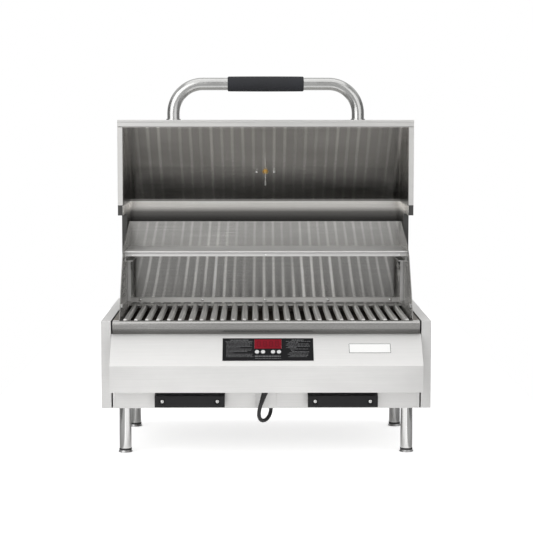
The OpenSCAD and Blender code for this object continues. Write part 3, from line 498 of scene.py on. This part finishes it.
def set_pieces(name, shape, spots, slot, body, stands_for=(), crease=40.0, finish=None):
    """A worked shape repeated at spots, each a point and a facing, as one piece."""
    template = bpy.data.objects.new(name + "_shape", as_mesh(shape))
    points = bpy.data.meshes.new(name + "_points")
    points.from_pydata([point for point, _ in spots], [], [])
    facing = points.attributes.new("facing", "FLOAT_VECTOR", "POINT")
    for value, (_, way) in zip(facing.data, spots):
        value.vector = way
    holder = bpy.data.objects.new(name + "_spots", points)
    scene.collection.objects.link(holder)
    modifier = holder.modifiers.new("set", "NODES")
    modifier.node_group = SETTER
    values = {"Piece": template, "Finish": finish or FINISHES[slot]}
    for item in SETTER.interface.items_tree:
        if item.in_out == "INPUT" and item.name in values:
            modifier[item.identifier] = values[item.name]
    grown = holder.evaluated_get(bpy.context.evaluated_depsgraph_get())
    mesh = bpy.data.meshes.new_from_object(grown)
    holder.modifiers.remove(modifier)
    bpy.data.objects.remove(holder)
    bpy.data.objects.remove(template)
    return place_piece(name, mesh, slot, body, stands_for, crease)


def dome(radius, height, rim=0.0):
    """Profile of a domed head that rises from a seat at height 0."""
    steps = 6
    points = [(0.0, 0.0), (radius, 0.0)]
    if rim:
        points.append((radius, rim))
    for i in range(1, steps):
        turn = math.pi / 2.0 * i / steps
        points.append((radius * math.cos(turn), rim + (height - rim) * math.sin(turn)))
    return points + [(0.0, height)]


def cross_head():
    """A pan head with a cross recess cut into it."""
    arm, half, floor, above = 0.0028, 0.0005, 0.0014, 0.004
    head = bpy.data.objects.new("head", as_mesh(turned(dome(radius=0.005, height=0.003, rim=0.0008))))
    arms = gather([block((-arm, -half, floor), (arm, half, above)),
                   block((-half, -arm, floor), (half, arm, above))])
    cutter = bpy.data.objects.new("cutter", as_mesh(arms))
    for item in (head, cutter):
        scene.collection.objects.link(item)
    cut = head.modifiers.new("recess", "BOOLEAN")
    cut.object = cutter
    cut.use_self = True
    grown = head.evaluated_get(bpy.context.evaluated_depsgraph_get())
    shape = bmesh.new()
    shape.from_mesh(grown.data)
    for item in (head, cutter):
        bpy.data.objects.remove(item)
    return shape


def hex_bolt(radius, height, washer_r, washer_h):
    """A six-sided head with a chamfered top on its washer."""
    washer = turned([(0.0, 0.0), (washer_r, 0.0), (washer_r, washer_h * 0.7), (washer_r * 0.96, washer_h),
                     (0.0, washer_h)])
    head = turned([(0.0, washer_h), (radius, washer_h), (radius, height * 0.8), (radius * 0.86, height),
                   (0.0, height)], sides=6)
    return gather([washer, head])


def fit_fasteners():
    """Screws, bolts and rivets with real heads, one piece for each body and kind."""
    tray_mid, screw_reach, screw_seat, screw_z = 188.0, 67.7, -23.5, 146.5
    for sign, side in ((-1, "left"), (1, "right")):
        spots = [(at(sign * tray_mid + x, screw_seat, screw_z), FRONT) for x in (-screw_reach, screw_reach)]
        set_pieces("cross_screws_" + side, cross_head(), spots, "fastener_steel", "tray_" + side,
                   ["tray_screws_" + side], crease=30.0)
    shelf_edge, shelf_z = 172.0, 491.0
    spots = [(at(x, shelf_edge, shelf_z), FRONT) for x in (-342.0, 0.0, 342.0)]
    set_pieces("shelf_edge_rivets", turned(dome(radius=0.003, height=0.002)), spots,
               "fastener_steel", "base", ["shelf_rivets"], finish=FINISHES["bright_rivet"])
    rail_face, rail_z = 358.0, 356.0
    spots = [(at(x, rail_face, rail_z), FRONT) for x in (-335.0, -168.0, 0.0, 168.0, 335.0)]
    set_pieces("rail_screws", turned(dome(radius=0.0042, height=0.0026, rim=0.0008)), spots,
               "fastener_steel", "base")
    bolt_depth, bolt_z = 45.0, 374.0
    spots = [(at(x, bolt_depth, bolt_z), way) for x, way in ((361.0, LEFT), (-361.0, RIGHT))]
    bolt = hex_bolt(radius=0.0065, height=0.005, washer_r=0.008, washer_h=0.0012)
    set_pieces("cheek_hex_bolts", bolt, spots, "fastener_steel", "base", ["cheek_bolts"], crease=25.0)


fit_fasteners()


def bar_x(mid, i):
    """The middle of one bar of the grate whose middle is given, in millimetres."""
    return mid + BAR_PITCH * (i - GRATE_BARS // 2)


def grate_bar():
    """One grate bar: sloped sides, rounded edges, a sloped front tip."""
    half, top_half, side, low, high = 0.008, 0.0032, 0.002, 0.334, 0.346
    length, rear = 0.346, 360.0
    tip_reach, tip_foot, tip_lean = 0.004, 0.006, 0.6
    outline = [(-half, 0.0), (half, 0.0), (half, side), (top_half, high - low), (-top_half, high - low),
               (-half, side)]
    bar = prism(outline, length, radius=0.0012)
    moved(bar, Matrix.Rotation(math.radians(90.0), 4, "X"))
    front = min(v.co.y for v in bar.verts)
    for v in bar.verts:
        if v.co.y < front + tip_reach and v.co.z > tip_foot:
            v.co.y += (v.co.z - tip_foot) * tip_lean
    return moved(bar, Matrix.Translation((0.0, at(0, rear, 0).y, low)))


def grate_web(mid, half_width):
    """The rear web of a grate: a round slot end in each gap between the bars."""
    bar_half, slot_end, rear, thick, foot = 4.5, 318.0, 360.0, 0.0016, 0.3438
    shapes = []
    for i in range(GRATE_BARS + 1):
        left = bar_x(mid, i - 1) + bar_half if i else mid - half_width
        right = bar_x(mid, i) - bar_half if i < GRATE_BARS else mid + half_width
        half = (right - left) / 2.0
        turns = [math.pi * k / 8.0 for k in range(1, 8)]
        arc = [(half * math.cos(turn), slot_end + half * math.sin(turn)) for turn in turns]
        outline = [(half, slot_end), *arc, (-half, slot_end), (-half, rear), (half, rear)]
        middle = Vector(((left + right) / 2.0 * MM, FRONT_Y, foot))
        shapes.append(moved(prism(in_metres(outline), thick), Matrix.Translation(middle)))
    return gather(shapes)


def fit_grates():
    """Three lift-out grates: nine bars, a rear web with round slot ends and two rails below."""
    half_width, rail_wide, rail_low, rail_high = 120.0, 8.0, 328.0, 335.5
    for name, mid in (("left", -240.5), ("center", 0.0), ("right", 240.5)):
        spots = [(Vector((bar_x(mid, i) * MM, 0.0, 0.0)), UP) for i in range(GRATE_BARS)]
        set_pieces("grate_bars_" + name, grate_bar(), spots, "grate_steel", "base", ["grate_" + name],
                   crease=30.0)
        web = as_mesh(grate_web(mid, half_width))
        place_piece("grate_web_" + name, web, "grate_steel", "base", crease=30.0)
        left, right = mid - half_width, mid + half_width
        rails = [block(at(left, depth, rail_low), at(right, depth + rail_wide, rail_high), radius=0.0008)
                 for depth in (18.0, 348.0)]
        place_piece("grate_rails_" + name, as_mesh(gather(rails)), "grate_steel", "base", crease=30.0,
                    finish=FINISHES["burnt_steel"])


fit_grates()


def fit_mouldings():
    """A front panel with a slot at each end, then handles, fronts, shells and plate with rounded edges."""
    panel_end, slot_start = 0.3815, 0.3786
    panel = bmesh.new()
    panel.from_mesh(nodes["front_panel"].data)
    for v in panel.verts:
        if abs(v.co.x) > panel_end:
            v.co.x = math.copysign(slot_start, v.co.x)
    place_piece("slotted_front_panel", as_mesh(panel), "outer_steel", "base", ["front_panel"], crease=30.0)
    for side in ("left", "right"):
        rounded_copy("tray_handle_" + side, "black_plastic", "tray_" + side, radius=0.0018, steps=3,
                     corners=0.0115)
        rounded_copy("tray_front_" + side, "outer_steel", "tray_" + side, radius=0.0006)
        rounded_copy("casing_side_" + side, "outer_steel", "base", radius=0.0007)
    rounded_copy("badge_plate", "badge_white", "base", radius=0.0003)


def fit_buttons():
    """Dished button caps, square to the slope."""
    profile = [(0.0, -0.001), (0.0055, -0.001), (0.0055, 0.0028), (0.0052, 0.0032), (0.0047, 0.0034),
               (0.0035, 0.0031), (0.002, 0.00285), (0.0, 0.0028)]
    along_slope = 57.4
    down = along_slope * math.sqrt(0.5)
    turn = Vector(SLOPE_OUT).to_track_quat("Z", "Y").to_matrix().to_4x4()
    for i in range(1, 5):
        low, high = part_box(f"button_{i}")
        middle = at((low.x + high.x) / 2.0 / MM, -down, SLOPE_TOP - down)
        cap = moved(turned(profile, sides=40), Matrix.Translation(middle) @ turn)
        place_piece(f"button_cap_{i}", as_mesh(cap), "button_silver", f"button_{i}_body", [f"button_{i}"])


fit_mouldings()
fit_buttons()


def fit_feet():
    """Feet: a black collar under each leg on a flared bright disc."""
    low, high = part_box("foot_pads")
    reach = 0.018
    rows = (low.y + reach, high.y - reach)
    spots = [(Vector((x, y, 0.0)), UP) for x in (low.x + reach, high.x - reach) for y in rows]
    collar = [(0.0, 0.005), (0.0152, 0.005), (0.0158, 0.0058), (0.0158, 0.0098), (0.0153, 0.0106),
              (0.0, 0.0106)]
    disc = [(0.0, 0.0), (0.017, 0.0), (0.018, 0.0008), (0.018, 0.0016), (0.0172, 0.0026), (0.0162, 0.0044),
            (0.0156, 0.0056), (0.0, 0.0056)]
    set_pieces("foot_collars", turned(collar, sides=40), spots, "foot_rubber", "base", ["foot_pads"])
    set_pieces("foot_discs", turned(disc, sides=40), spots, "handle_steel", "base",
               finish=FINISHES["foot_steel"])


fit_feet()


def frame_at(origin, out):
    """Place of a piece on a face that leans about X: its X stays, its Z points out of the face."""
    out = Vector(out)
    up = out.cross(Vector(RIGHT))
    turn = Matrix((Vector(RIGHT), up, out)).transposed().to_4x4()
    return Matrix.Translation(origin) @ turn


# Printed lines as inset and length, the dashes they are made of, and heights over the slope, all in mm.
PRINT_LEFT = ((12, 44), (0, 66), (2, 62), (2, 64), (2, 58), (2, 62), (2, 34), (2, 62), (2, 60), (2, 52),
              (2, 20), (2, 64), (2, 62), (2, 66))
PRINT_RIGHT = ((14, 30), (0, 60), (6, 24), (2, 56), (0, 58), (6, 52), (0, 26), (10, 44), (12, 10), (14, 42),
               (8, 48), (4, 50), (10, 44), (6, 46))
DASHES, DASH_GAP, SHORTEST_DASH = (6.5, 3.2, 8.0, 4.6, 2.4, 7.2, 5.4), 1.2, 1.5
INK, SEGMENT, BORDER = (1.1, 1.28), (1.5, 1.66), (0.7, 0.9)


def flat_blocks(name, rows, place, slot, body, finish=None):
    """Thin raised marks on a face: each row holds the middle, size and heights of one, in millimetres."""
    shapes = []
    for x, y, w, h, low, high in rows:
        ends = ((-0.5, low), (0.5, high))
        shapes.append(block(*(((x + k * w) * MM, (y + k * h) * MM, z * MM) for k, z in ends)))
    return place_piece(name, as_mesh(moved(gather(shapes), place)), slot, body, finish=finish)


def segment_rows(x, y, w, h, thick):
    """The seven bars of one unlit digit."""
    rows = [(x, y + k * (h - thick) / 2.0, w - 2.0 * thick, thick, *SEGMENT) for k in (-1, 0, 1)]
    tall = h / 2.0 - thick * 1.4
    for side in (-1, 1):
        for half in (-1, 1):
            rows.append((x + side * (w - thick) / 2.0, y + half * h / 4.0, thick, tall, *SEGMENT))
    return rows


def dashed_rule(x, y, length, height, turn):
    """One line of plain dashes from x on, in millimetres on the panel."""
    rows, along = [], 0.0
    while along < length - SHORTEST_DASH:
        dash = min(DASHES[turn % len(DASHES)], length - along)
        rows.append((x + along + dash / 2.0, y, dash, height, *INK))
        along += dash + DASH_GAP
        turn += 1
    return rows


def fit_panel():
    """Control panel: plain dashes in place of print, an unlit display, a thin border on the bare plate."""
    slope = frame_at(at(0.0, 0.0, SLOPE_TOP), SLOPE_OUT)
    mid, left_start, right_start, first_line, line_pitch = 4.0, -104.0, 44.0, 20.5, 3.9
    rows = []
    for start, lines in ((mid + left_start, PRINT_LEFT), (mid + right_start, PRINT_RIGHT)):
        for i, (inset, length) in enumerate(lines):
            height = 0.8 if i else 1.4
            rows += dashed_rule(start + inset, -(first_line + line_pitch * i), length, height, 3 * i)
    caption_half = 32.0
    for down, height in ((69.5, 2.0), (76.0, 0.9)):
        rows += dashed_rule(mid - caption_half, -down, 2.0 * caption_half, height, 2)
    flat_blocks("fascia_rules", rows, slope, "badge_white", "base", FINISHES["print_grey"])
    digit_pitch, digit_y, digit_w, digit_h, thick = 15.0, -32.6, 9.6, 17.0, 1.7
    dot_x, dot_y, dot = 7.0, -40.4, 1.6
    rows = []
    for i in range(4):
        x = mid + digit_pitch * (i - 1.5)
        rows += segment_rows(x, digit_y, digit_w, digit_h, thick)
        rows.append((x + dot_x, dot_y, dot, dot, *SEGMENT))
    flat_blocks("display_segments", rows, slope, "display_red", "base", FINISHES["segment_red"])
    x, y, w, h, line = 253.0, -45.5, 103.0, 29.0, 1.0
    rows = [(x, y + k * (h / 2.0 - line), w - line, line, *BORDER) for k in (-1, 1)]
    rows += [(x + k * (w / 2.0 - line), y, line, h - 3.0 * line, *BORDER) for k in (-1, 1)]
    flat_blocks("badge_border", rows, slope, "fascia_black", "base")


fit_panel()


def dial_turn(i, steps):
    """The angle of a step on the dial, counted from the low end of its sweep."""
    return math.radians(DIAL_SWEEP / 2.0 - DIAL_SWEEP * i / steps)


def number_shape(digits, size):
    """A plain number as a thin raised shape."""
    words = bpy.data.curves.new("number", "FONT")
    words.body, words.size, words.extrude = digits, size, 0.00006
    words.align_x, words.align_y = "CENTER", "CENTER"
    holder = bpy.data.objects.new("number", words)
    scene.collection.objects.link(holder)
    mesh = bpy.data.meshes.new_from_object(holder.evaluated_get(bpy.context.evaluated_depsgraph_get()))
    shape = bmesh.new()
    shape.from_mesh(mesh)
    bpy.data.objects.remove(holder)
    return shape


def fit_gauge(gauge):
    """Lid thermometer from outside: bezel, ring of marks and plain numbers."""
    bezel = turned([(0.0285, 0.0118), (0.0292, 0.0132), (0.0304, 0.0139), (0.0314, 0.0137), (0.032, 0.0126),
                    (0.032, 0.0105), (0.0292, 0.0105)], sides=64, closed=True)
    place_piece("gauge_bezel", as_mesh(moved(bezel, gauge)), "fastener_steel", "lid",
                finish=FINISHES["handle_steel"])
    steps, steps_a_number, mark_r, mark_plane = 35, 5, 0.0003, 0.0036
    spots = {"long": [], "short": []}
    for i in range(steps + 1):
        turn = dial_turn(i, steps)
        way = gauge.to_3x3() @ Vector((-math.sin(turn), math.cos(turn), 0.0))
        kind, start = ("short", 0.0256) if i % steps_a_number else ("long", 0.0232)
        spots[kind].append((gauge @ Vector((0.0, 0.0, mark_plane)) + way * start, way))
    for kind, length in (("long", 0.0046), ("short", 0.0022)):
        mark = turned([(0.0, 0.0), (mark_r, 0.0), (mark_r, length), (0.0, length)], sides=6)
        set_pieces("dial_marks_" + kind, mark, spots[kind], "fascia_black", "lid")
    numbers, number_step, number_size, number_r, number_plane = 7, 50, 0.0048, 0.0192, 0.00365
    shapes = []
    for i in range(numbers + 1):
        turn = dial_turn(i, numbers)
        spot = Vector((-math.sin(turn) * number_r, math.cos(turn) * number_r, number_plane))
        shapes.append(moved(number_shape(str(number_step * i), number_size), Matrix.Translation(spot)))
    place_piece("dial_numbers", as_mesh(moved(gather(shapes), gauge)), "fascia_black", "lid")


def fit_lid_nuts(gauge):
    """Lid thermometer from inside: brass nut on the stem, bright cap nuts beside it."""
    flange = [(0.0, -0.0142), (0.0078, -0.0142), (0.0078, -0.0154), (0.0, -0.0154)]
    hexagon = [(0.0, -0.0154), (0.0065, -0.0154), (0.0065, -0.0192), (0.0057, -0.02), (0.0, -0.02)]
    nut = gather([turned(flange), turned(hexagon, sides=6)])
    place_piece("brass_stem_nut", as_mesh(moved(nut, gauge)), "brass", "lid", ["stem_nuts"], crease=25.0)
    foot = [(0.0, 0.0), (0.005, 0.0), (0.005, 0.0028), (0.0045, 0.0032), (0.0, 0.0032)]
    crown = [(0.0, 0.003), (0.0041, 0.003), (0.0041, 0.0044), (0.0036, 0.0053), (0.0024, 0.0058),
             (0.0, 0.006)]
    liner_face = -0.014
    spots = [(gauge @ Vector((x * MM, 0.0, liner_face)), -Vector(GAUGE_OUT)) for x in (-23.0, 23.0)]
    nut = gather([turned(foot, sides=6), turned(crown, sides=24)])
    set_pieces("cap_nuts", nut, spots, "fastener_steel", "lid", crease=25.0)


gauge_place = frame_at(Vector(GAUGE_MID), GAUGE_OUT)
fit_gauge(gauge_place)
fit_lid_nuts(gauge_place)


def fit_grip():
    """Soft sleeve on the handle bar: slightly crowned, with rolled ends."""
    half, outer, inner, bar_z = 0.097, 0.01935, 0.01595, 926.9
    crown, roll, lip, step = 0.0004, 0.003, 0.0026, 0.0005
    skin = []
    for i in range(25):
        along = -half + roll + (2.0 * half - 2.0 * roll) * i / 24.0
        skin.append((outer - crown * (along / half) ** 2, along))
    ends = []
    for k in range(4):
        turn = math.pi / 8.0 * k
        ends.append((outer - step - lip * (1.0 - math.sin(turn)), half - roll + roll * math.cos(turn)))
    profile = [(inner, -half)] + [(r, -z) for r, z in ends] + skin + ends[::-1] + [(inner, half)]
    sleeve = turned(profile, sides=56, closed=True)
    lying = Matrix.Rotation(math.radians(90.0), 4, "Y")
    moved(sleeve, Matrix.Translation(at(0.0, HANDLE_DEPTH, bar_z)) @ lying)
    place_piece("soft_grip", as_mesh(sleeve), "grip_foam", "lid", ["lid_grip"])


fit_grip()


def fit_hems():
    """Hemmed front edges on the rear wall's returns."""
    width, front, rear, low, high = 8.4, 260.4, 261.95, 363.2, 473.7
    hems = [block(at(x, front, low), at(x + width, rear, high), radius=0.0005) for x in (-360.9, 352.5)]
    place_piece("wall_edge_hems", as_mesh(gather(hems)), "inner_steel", "base", crease=30.0,
                finish=FINISHES["outer_steel"])


def fit_collars():
    """Low collars round the handle's posts, cut at the foot to the slope of the lid."""
    seat, tall, lid_face = 800.0, 838.6 - 800.0, 0.0141
    profile = [(15.9, 0.0), (18.4, 0.0), (18.4, tall - 1.2), (18.05, tall - 0.35), (17.2, tall),
               (15.9, tall)]
    shapes = []
    for x in (-236.0, 236.0):
        collar = turned(in_metres(profile), sides=48, closed=True)
        for v in collar.verts:
            if v.co.z < MM:
                v.co.z = lid_face - v.co.y * GAUGE_OUT[1] / GAUGE_OUT[2]
        shapes.append(moved(collar, Matrix.Translation(at(x, HANDLE_DEPTH, seat))))
    place_piece("handle_collars", as_mesh(gather(shapes)), "handle_steel", "lid", ["handle_rings"])


fit_hems()
fit_collars()


def fit_boot(tip, up, length):
    """Tapered boot of the control lead, grooved between its ribs."""
    ribs, pitch, thin, widening = 9, 3.8, 5.25, 3.25
    profile = [(0.0, 0.0)]
    for i in range(ribs):
        for step, cut in ((0.0, 0.0), (2.1, 0.0), (2.5, 0.9), (3.4, 0.9)):
            along = pitch * i + step
            profile.append((thin + widening * along / length - cut, along))
    profile += [(8.0, 34.4), (8.4, 35.0), (8.5, length), (0.0, length)]
    boot = turned(in_metres(profile))
    moved(boot, Matrix.Translation(at(*tip)) @ up.to_track_quat("Z", "Y").to_matrix().to_4x4())
    place_piece("ribbed_boot", as_mesh(boot), "lead_rubber", "base", ["lead_boot"])


def fit_cable(tip, up):
    """Control lead that hangs in a short loop from its boot back to the floor's gland."""
    knots = (tip, tip - 60.0 * up, Vector((12.0, 50.0, 77.7)), Vector((12.0, 50.0, 117.7)))
    steps, cable_r = 32, 4.75
    route = []
    for i in range(steps + 1):
        t = i / steps
        shares = ((1.0 - t) ** 3, 3.0 * t * (1.0 - t) ** 2, 3.0 * t * t * (1.0 - t), t ** 3)
        spot = sum((share * knot for share, knot in zip(shares, knots)), Vector())
        route.append(at(*spot))
    line = bpy.data.curves.new("control_cable", "CURVE")
    line.dimensions = "3D"
    line.bevel_depth = cable_r * MM
    line.bevel_resolution = 6
    line.use_fill_caps = True
    spline = line.splines.new("POLY")
    spline.points.add(len(route) - 1)
    for point, place in zip(spline.points, route):
        point.co = (*place, 1.0)
    spline.use_smooth = True
    line.materials.append(FINISHES["lead_rubber"])
    cable = bpy.data.objects.new("control_cable", line)
    scene.collection.objects.link(cable)
    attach(cable, "base")
    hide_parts("control_lead")


def fit_lead():
    """The control lead and the boot it leaves the housing through."""
    tip, top, hidden = Vector((-13.4, -36.0, 141.8)), Vector((-2.0, -36.0, 176.0)), 6.0
    up = (top - tip).normalized()
    fit_boot(tip, up, (top - tip).length + hidden)
    fit_cable(tip, up)


fit_lead()


def lay_floor():
    """Pale floor that keeps the shadow. It glows to the camera, and in reflections ahead of the grill."""
    half, near, far = FLOOR_REACH
    corners = [(-half, near, 0.0), (half, near, 0.0), (half, far, 0.0), (-half, far, 0.0)]
    sheet = bpy.data.meshes.new("floor")
    sheet.from_pydata(corners, [], [(0, 1, 2, 3)])
    floor = bpy.data.objects.new("floor", sheet)
    scene.collection.objects.link(floor)
    finish, tree, shader = new_finish("pale_floor", FLOOR_COLOUR, FLOOR_ROUGH)
    rays = add_node(tree, "ShaderNodeLightPath").outputs
    spot = parts_of(tree, add_node(tree, "ShaderNodeTexCoord").outputs["Object"])
    share = by_stops(tree, calc(tree, "ABSOLUTE", spot["X"]), FLOOR_BANDS)
    ahead = between(tree, spot["Y"], FLOOR_MIRRORED, 0.0, *FLOOR_FADE)
    mirrored = calc(tree, "MULTIPLY", rays["Is Glossy Ray"], calc(tree, "MULTIPLY", share, ahead))
    seen = calc(tree, "MULTIPLY_ADD", rays["Is Camera Ray"], FLOOR_SEEN, mirrored)
    dark = calc(tree, "MULTIPLY", rays["Is Glossy Ray"], calc(tree, "SUBTRACT", 1.0, share))
    tree.links.new(tint(tree, dark, FLOOR_COLOUR, (0.0, 0.0, 0.0)), shader.inputs["Base Color"])
    glow = add_node(tree, "ShaderNodeEmission", {"Color": (1.0, 1.0, 1.0, 1.0), "Strength": seen})
    both = add_node(tree, "ShaderNodeAddShader", {0: shader.outputs[0], 1: glow.outputs[0]})
    tree.links.new(both.outputs[0], tree.nodes["Material Output"].inputs["Surface"])
    sheet.materials.append(finish)


def light_room():
    """White to the camera, plain fill on rough faces, and in reflections a room that is brightest behind the
    grill, dimmer overhead and dark at both sides."""
    world = bpy.data.worlds.new("studio")
    scene.world = world
    world.use_nodes = True
    tree = world.node_tree
    back = tree.nodes["Background"]
    back.inputs["Color"].default_value = (1.0, 1.0, 1.0, 1.0)
    rays = add_node(tree, "ShaderNodeLightPath").outputs
    way = parts_of(tree, add_node(tree, "ShaderNodeTexCoord").outputs["Generated"])
    backdrop = between(tree, way["Y"], ROOM_LEVEL, 1.0, *BACKDROP_FADE)
    ceiling = between(tree, way["Z"], 1.0, CEILING_LEVEL, *CEILING_FADE)
    aside = between(tree, calc(tree, "ABSOLUTE", way["X"]), 0.0, SIDE_LEVEL - 1.0, *SIDE_FADE)
    upright = between(tree, calc(tree, "ABSOLUTE", way["Z"]), 1.0, 0.0, *UPRIGHT_FADE)
    walls = calc(tree, "MULTIPLY", backdrop, calc(tree, "MULTIPLY_ADD", aside, upright, 1.0))
    room = calc(tree, "MULTIPLY", walls, ceiling)
    mirrored = calc(tree, "MAXIMUM", rays["Is Glossy Ray"], rays["Is Transmission Ray"])
    level = add_node(tree, "ShaderNodeMix", {"Factor": mirrored, "A": FILL_LEVEL, "B": room})
    shown = calc(tree, "MAXIMUM", level.outputs["Result"], rays["Is Camera Ray"])
    tree.links.new(shown, back.inputs["Strength"])


def set_lamps():
    """Soft boxes: key from the front left, fill from the front right, one overhead."""
    for name, place, size, power in SOFT_BOXES:
        lamp = bpy.data.lights.new(name, "AREA")
        lamp.size = size
        lamp.energy = power
        holder = bpy.data.objects.new(name, lamp)
        scene.collection.objects.link(holder)
        holder.location = place
        aim = Vector(LAMP_TARGET) - Vector(place)
        holder.rotation_euler = aim.to_track_quat("-Z", "Y").to_euler()


def set_camera():
    """The photo's camera: ahead of the grill, slightly above it, looking a little down."""
    lens = bpy.data.cameras.new("camera")
    lens.lens = CAMERA_LENS
    lens.sensor_width = SENSOR_WIDTH
    eye = bpy.data.objects.new("camera", lens)
    scene.collection.objects.link(eye)
    eye.location = CAMERA_PLACE
    eye.rotation_euler = (math.radians(90.0 - CAMERA_DOWN), 0.0, math.radians(CAMERA_PAN))
    scene.camera = eye
    scene.view_settings.view_transform = "Standard"


lay_floor()
light_room()
set_lamps()
set_camera()
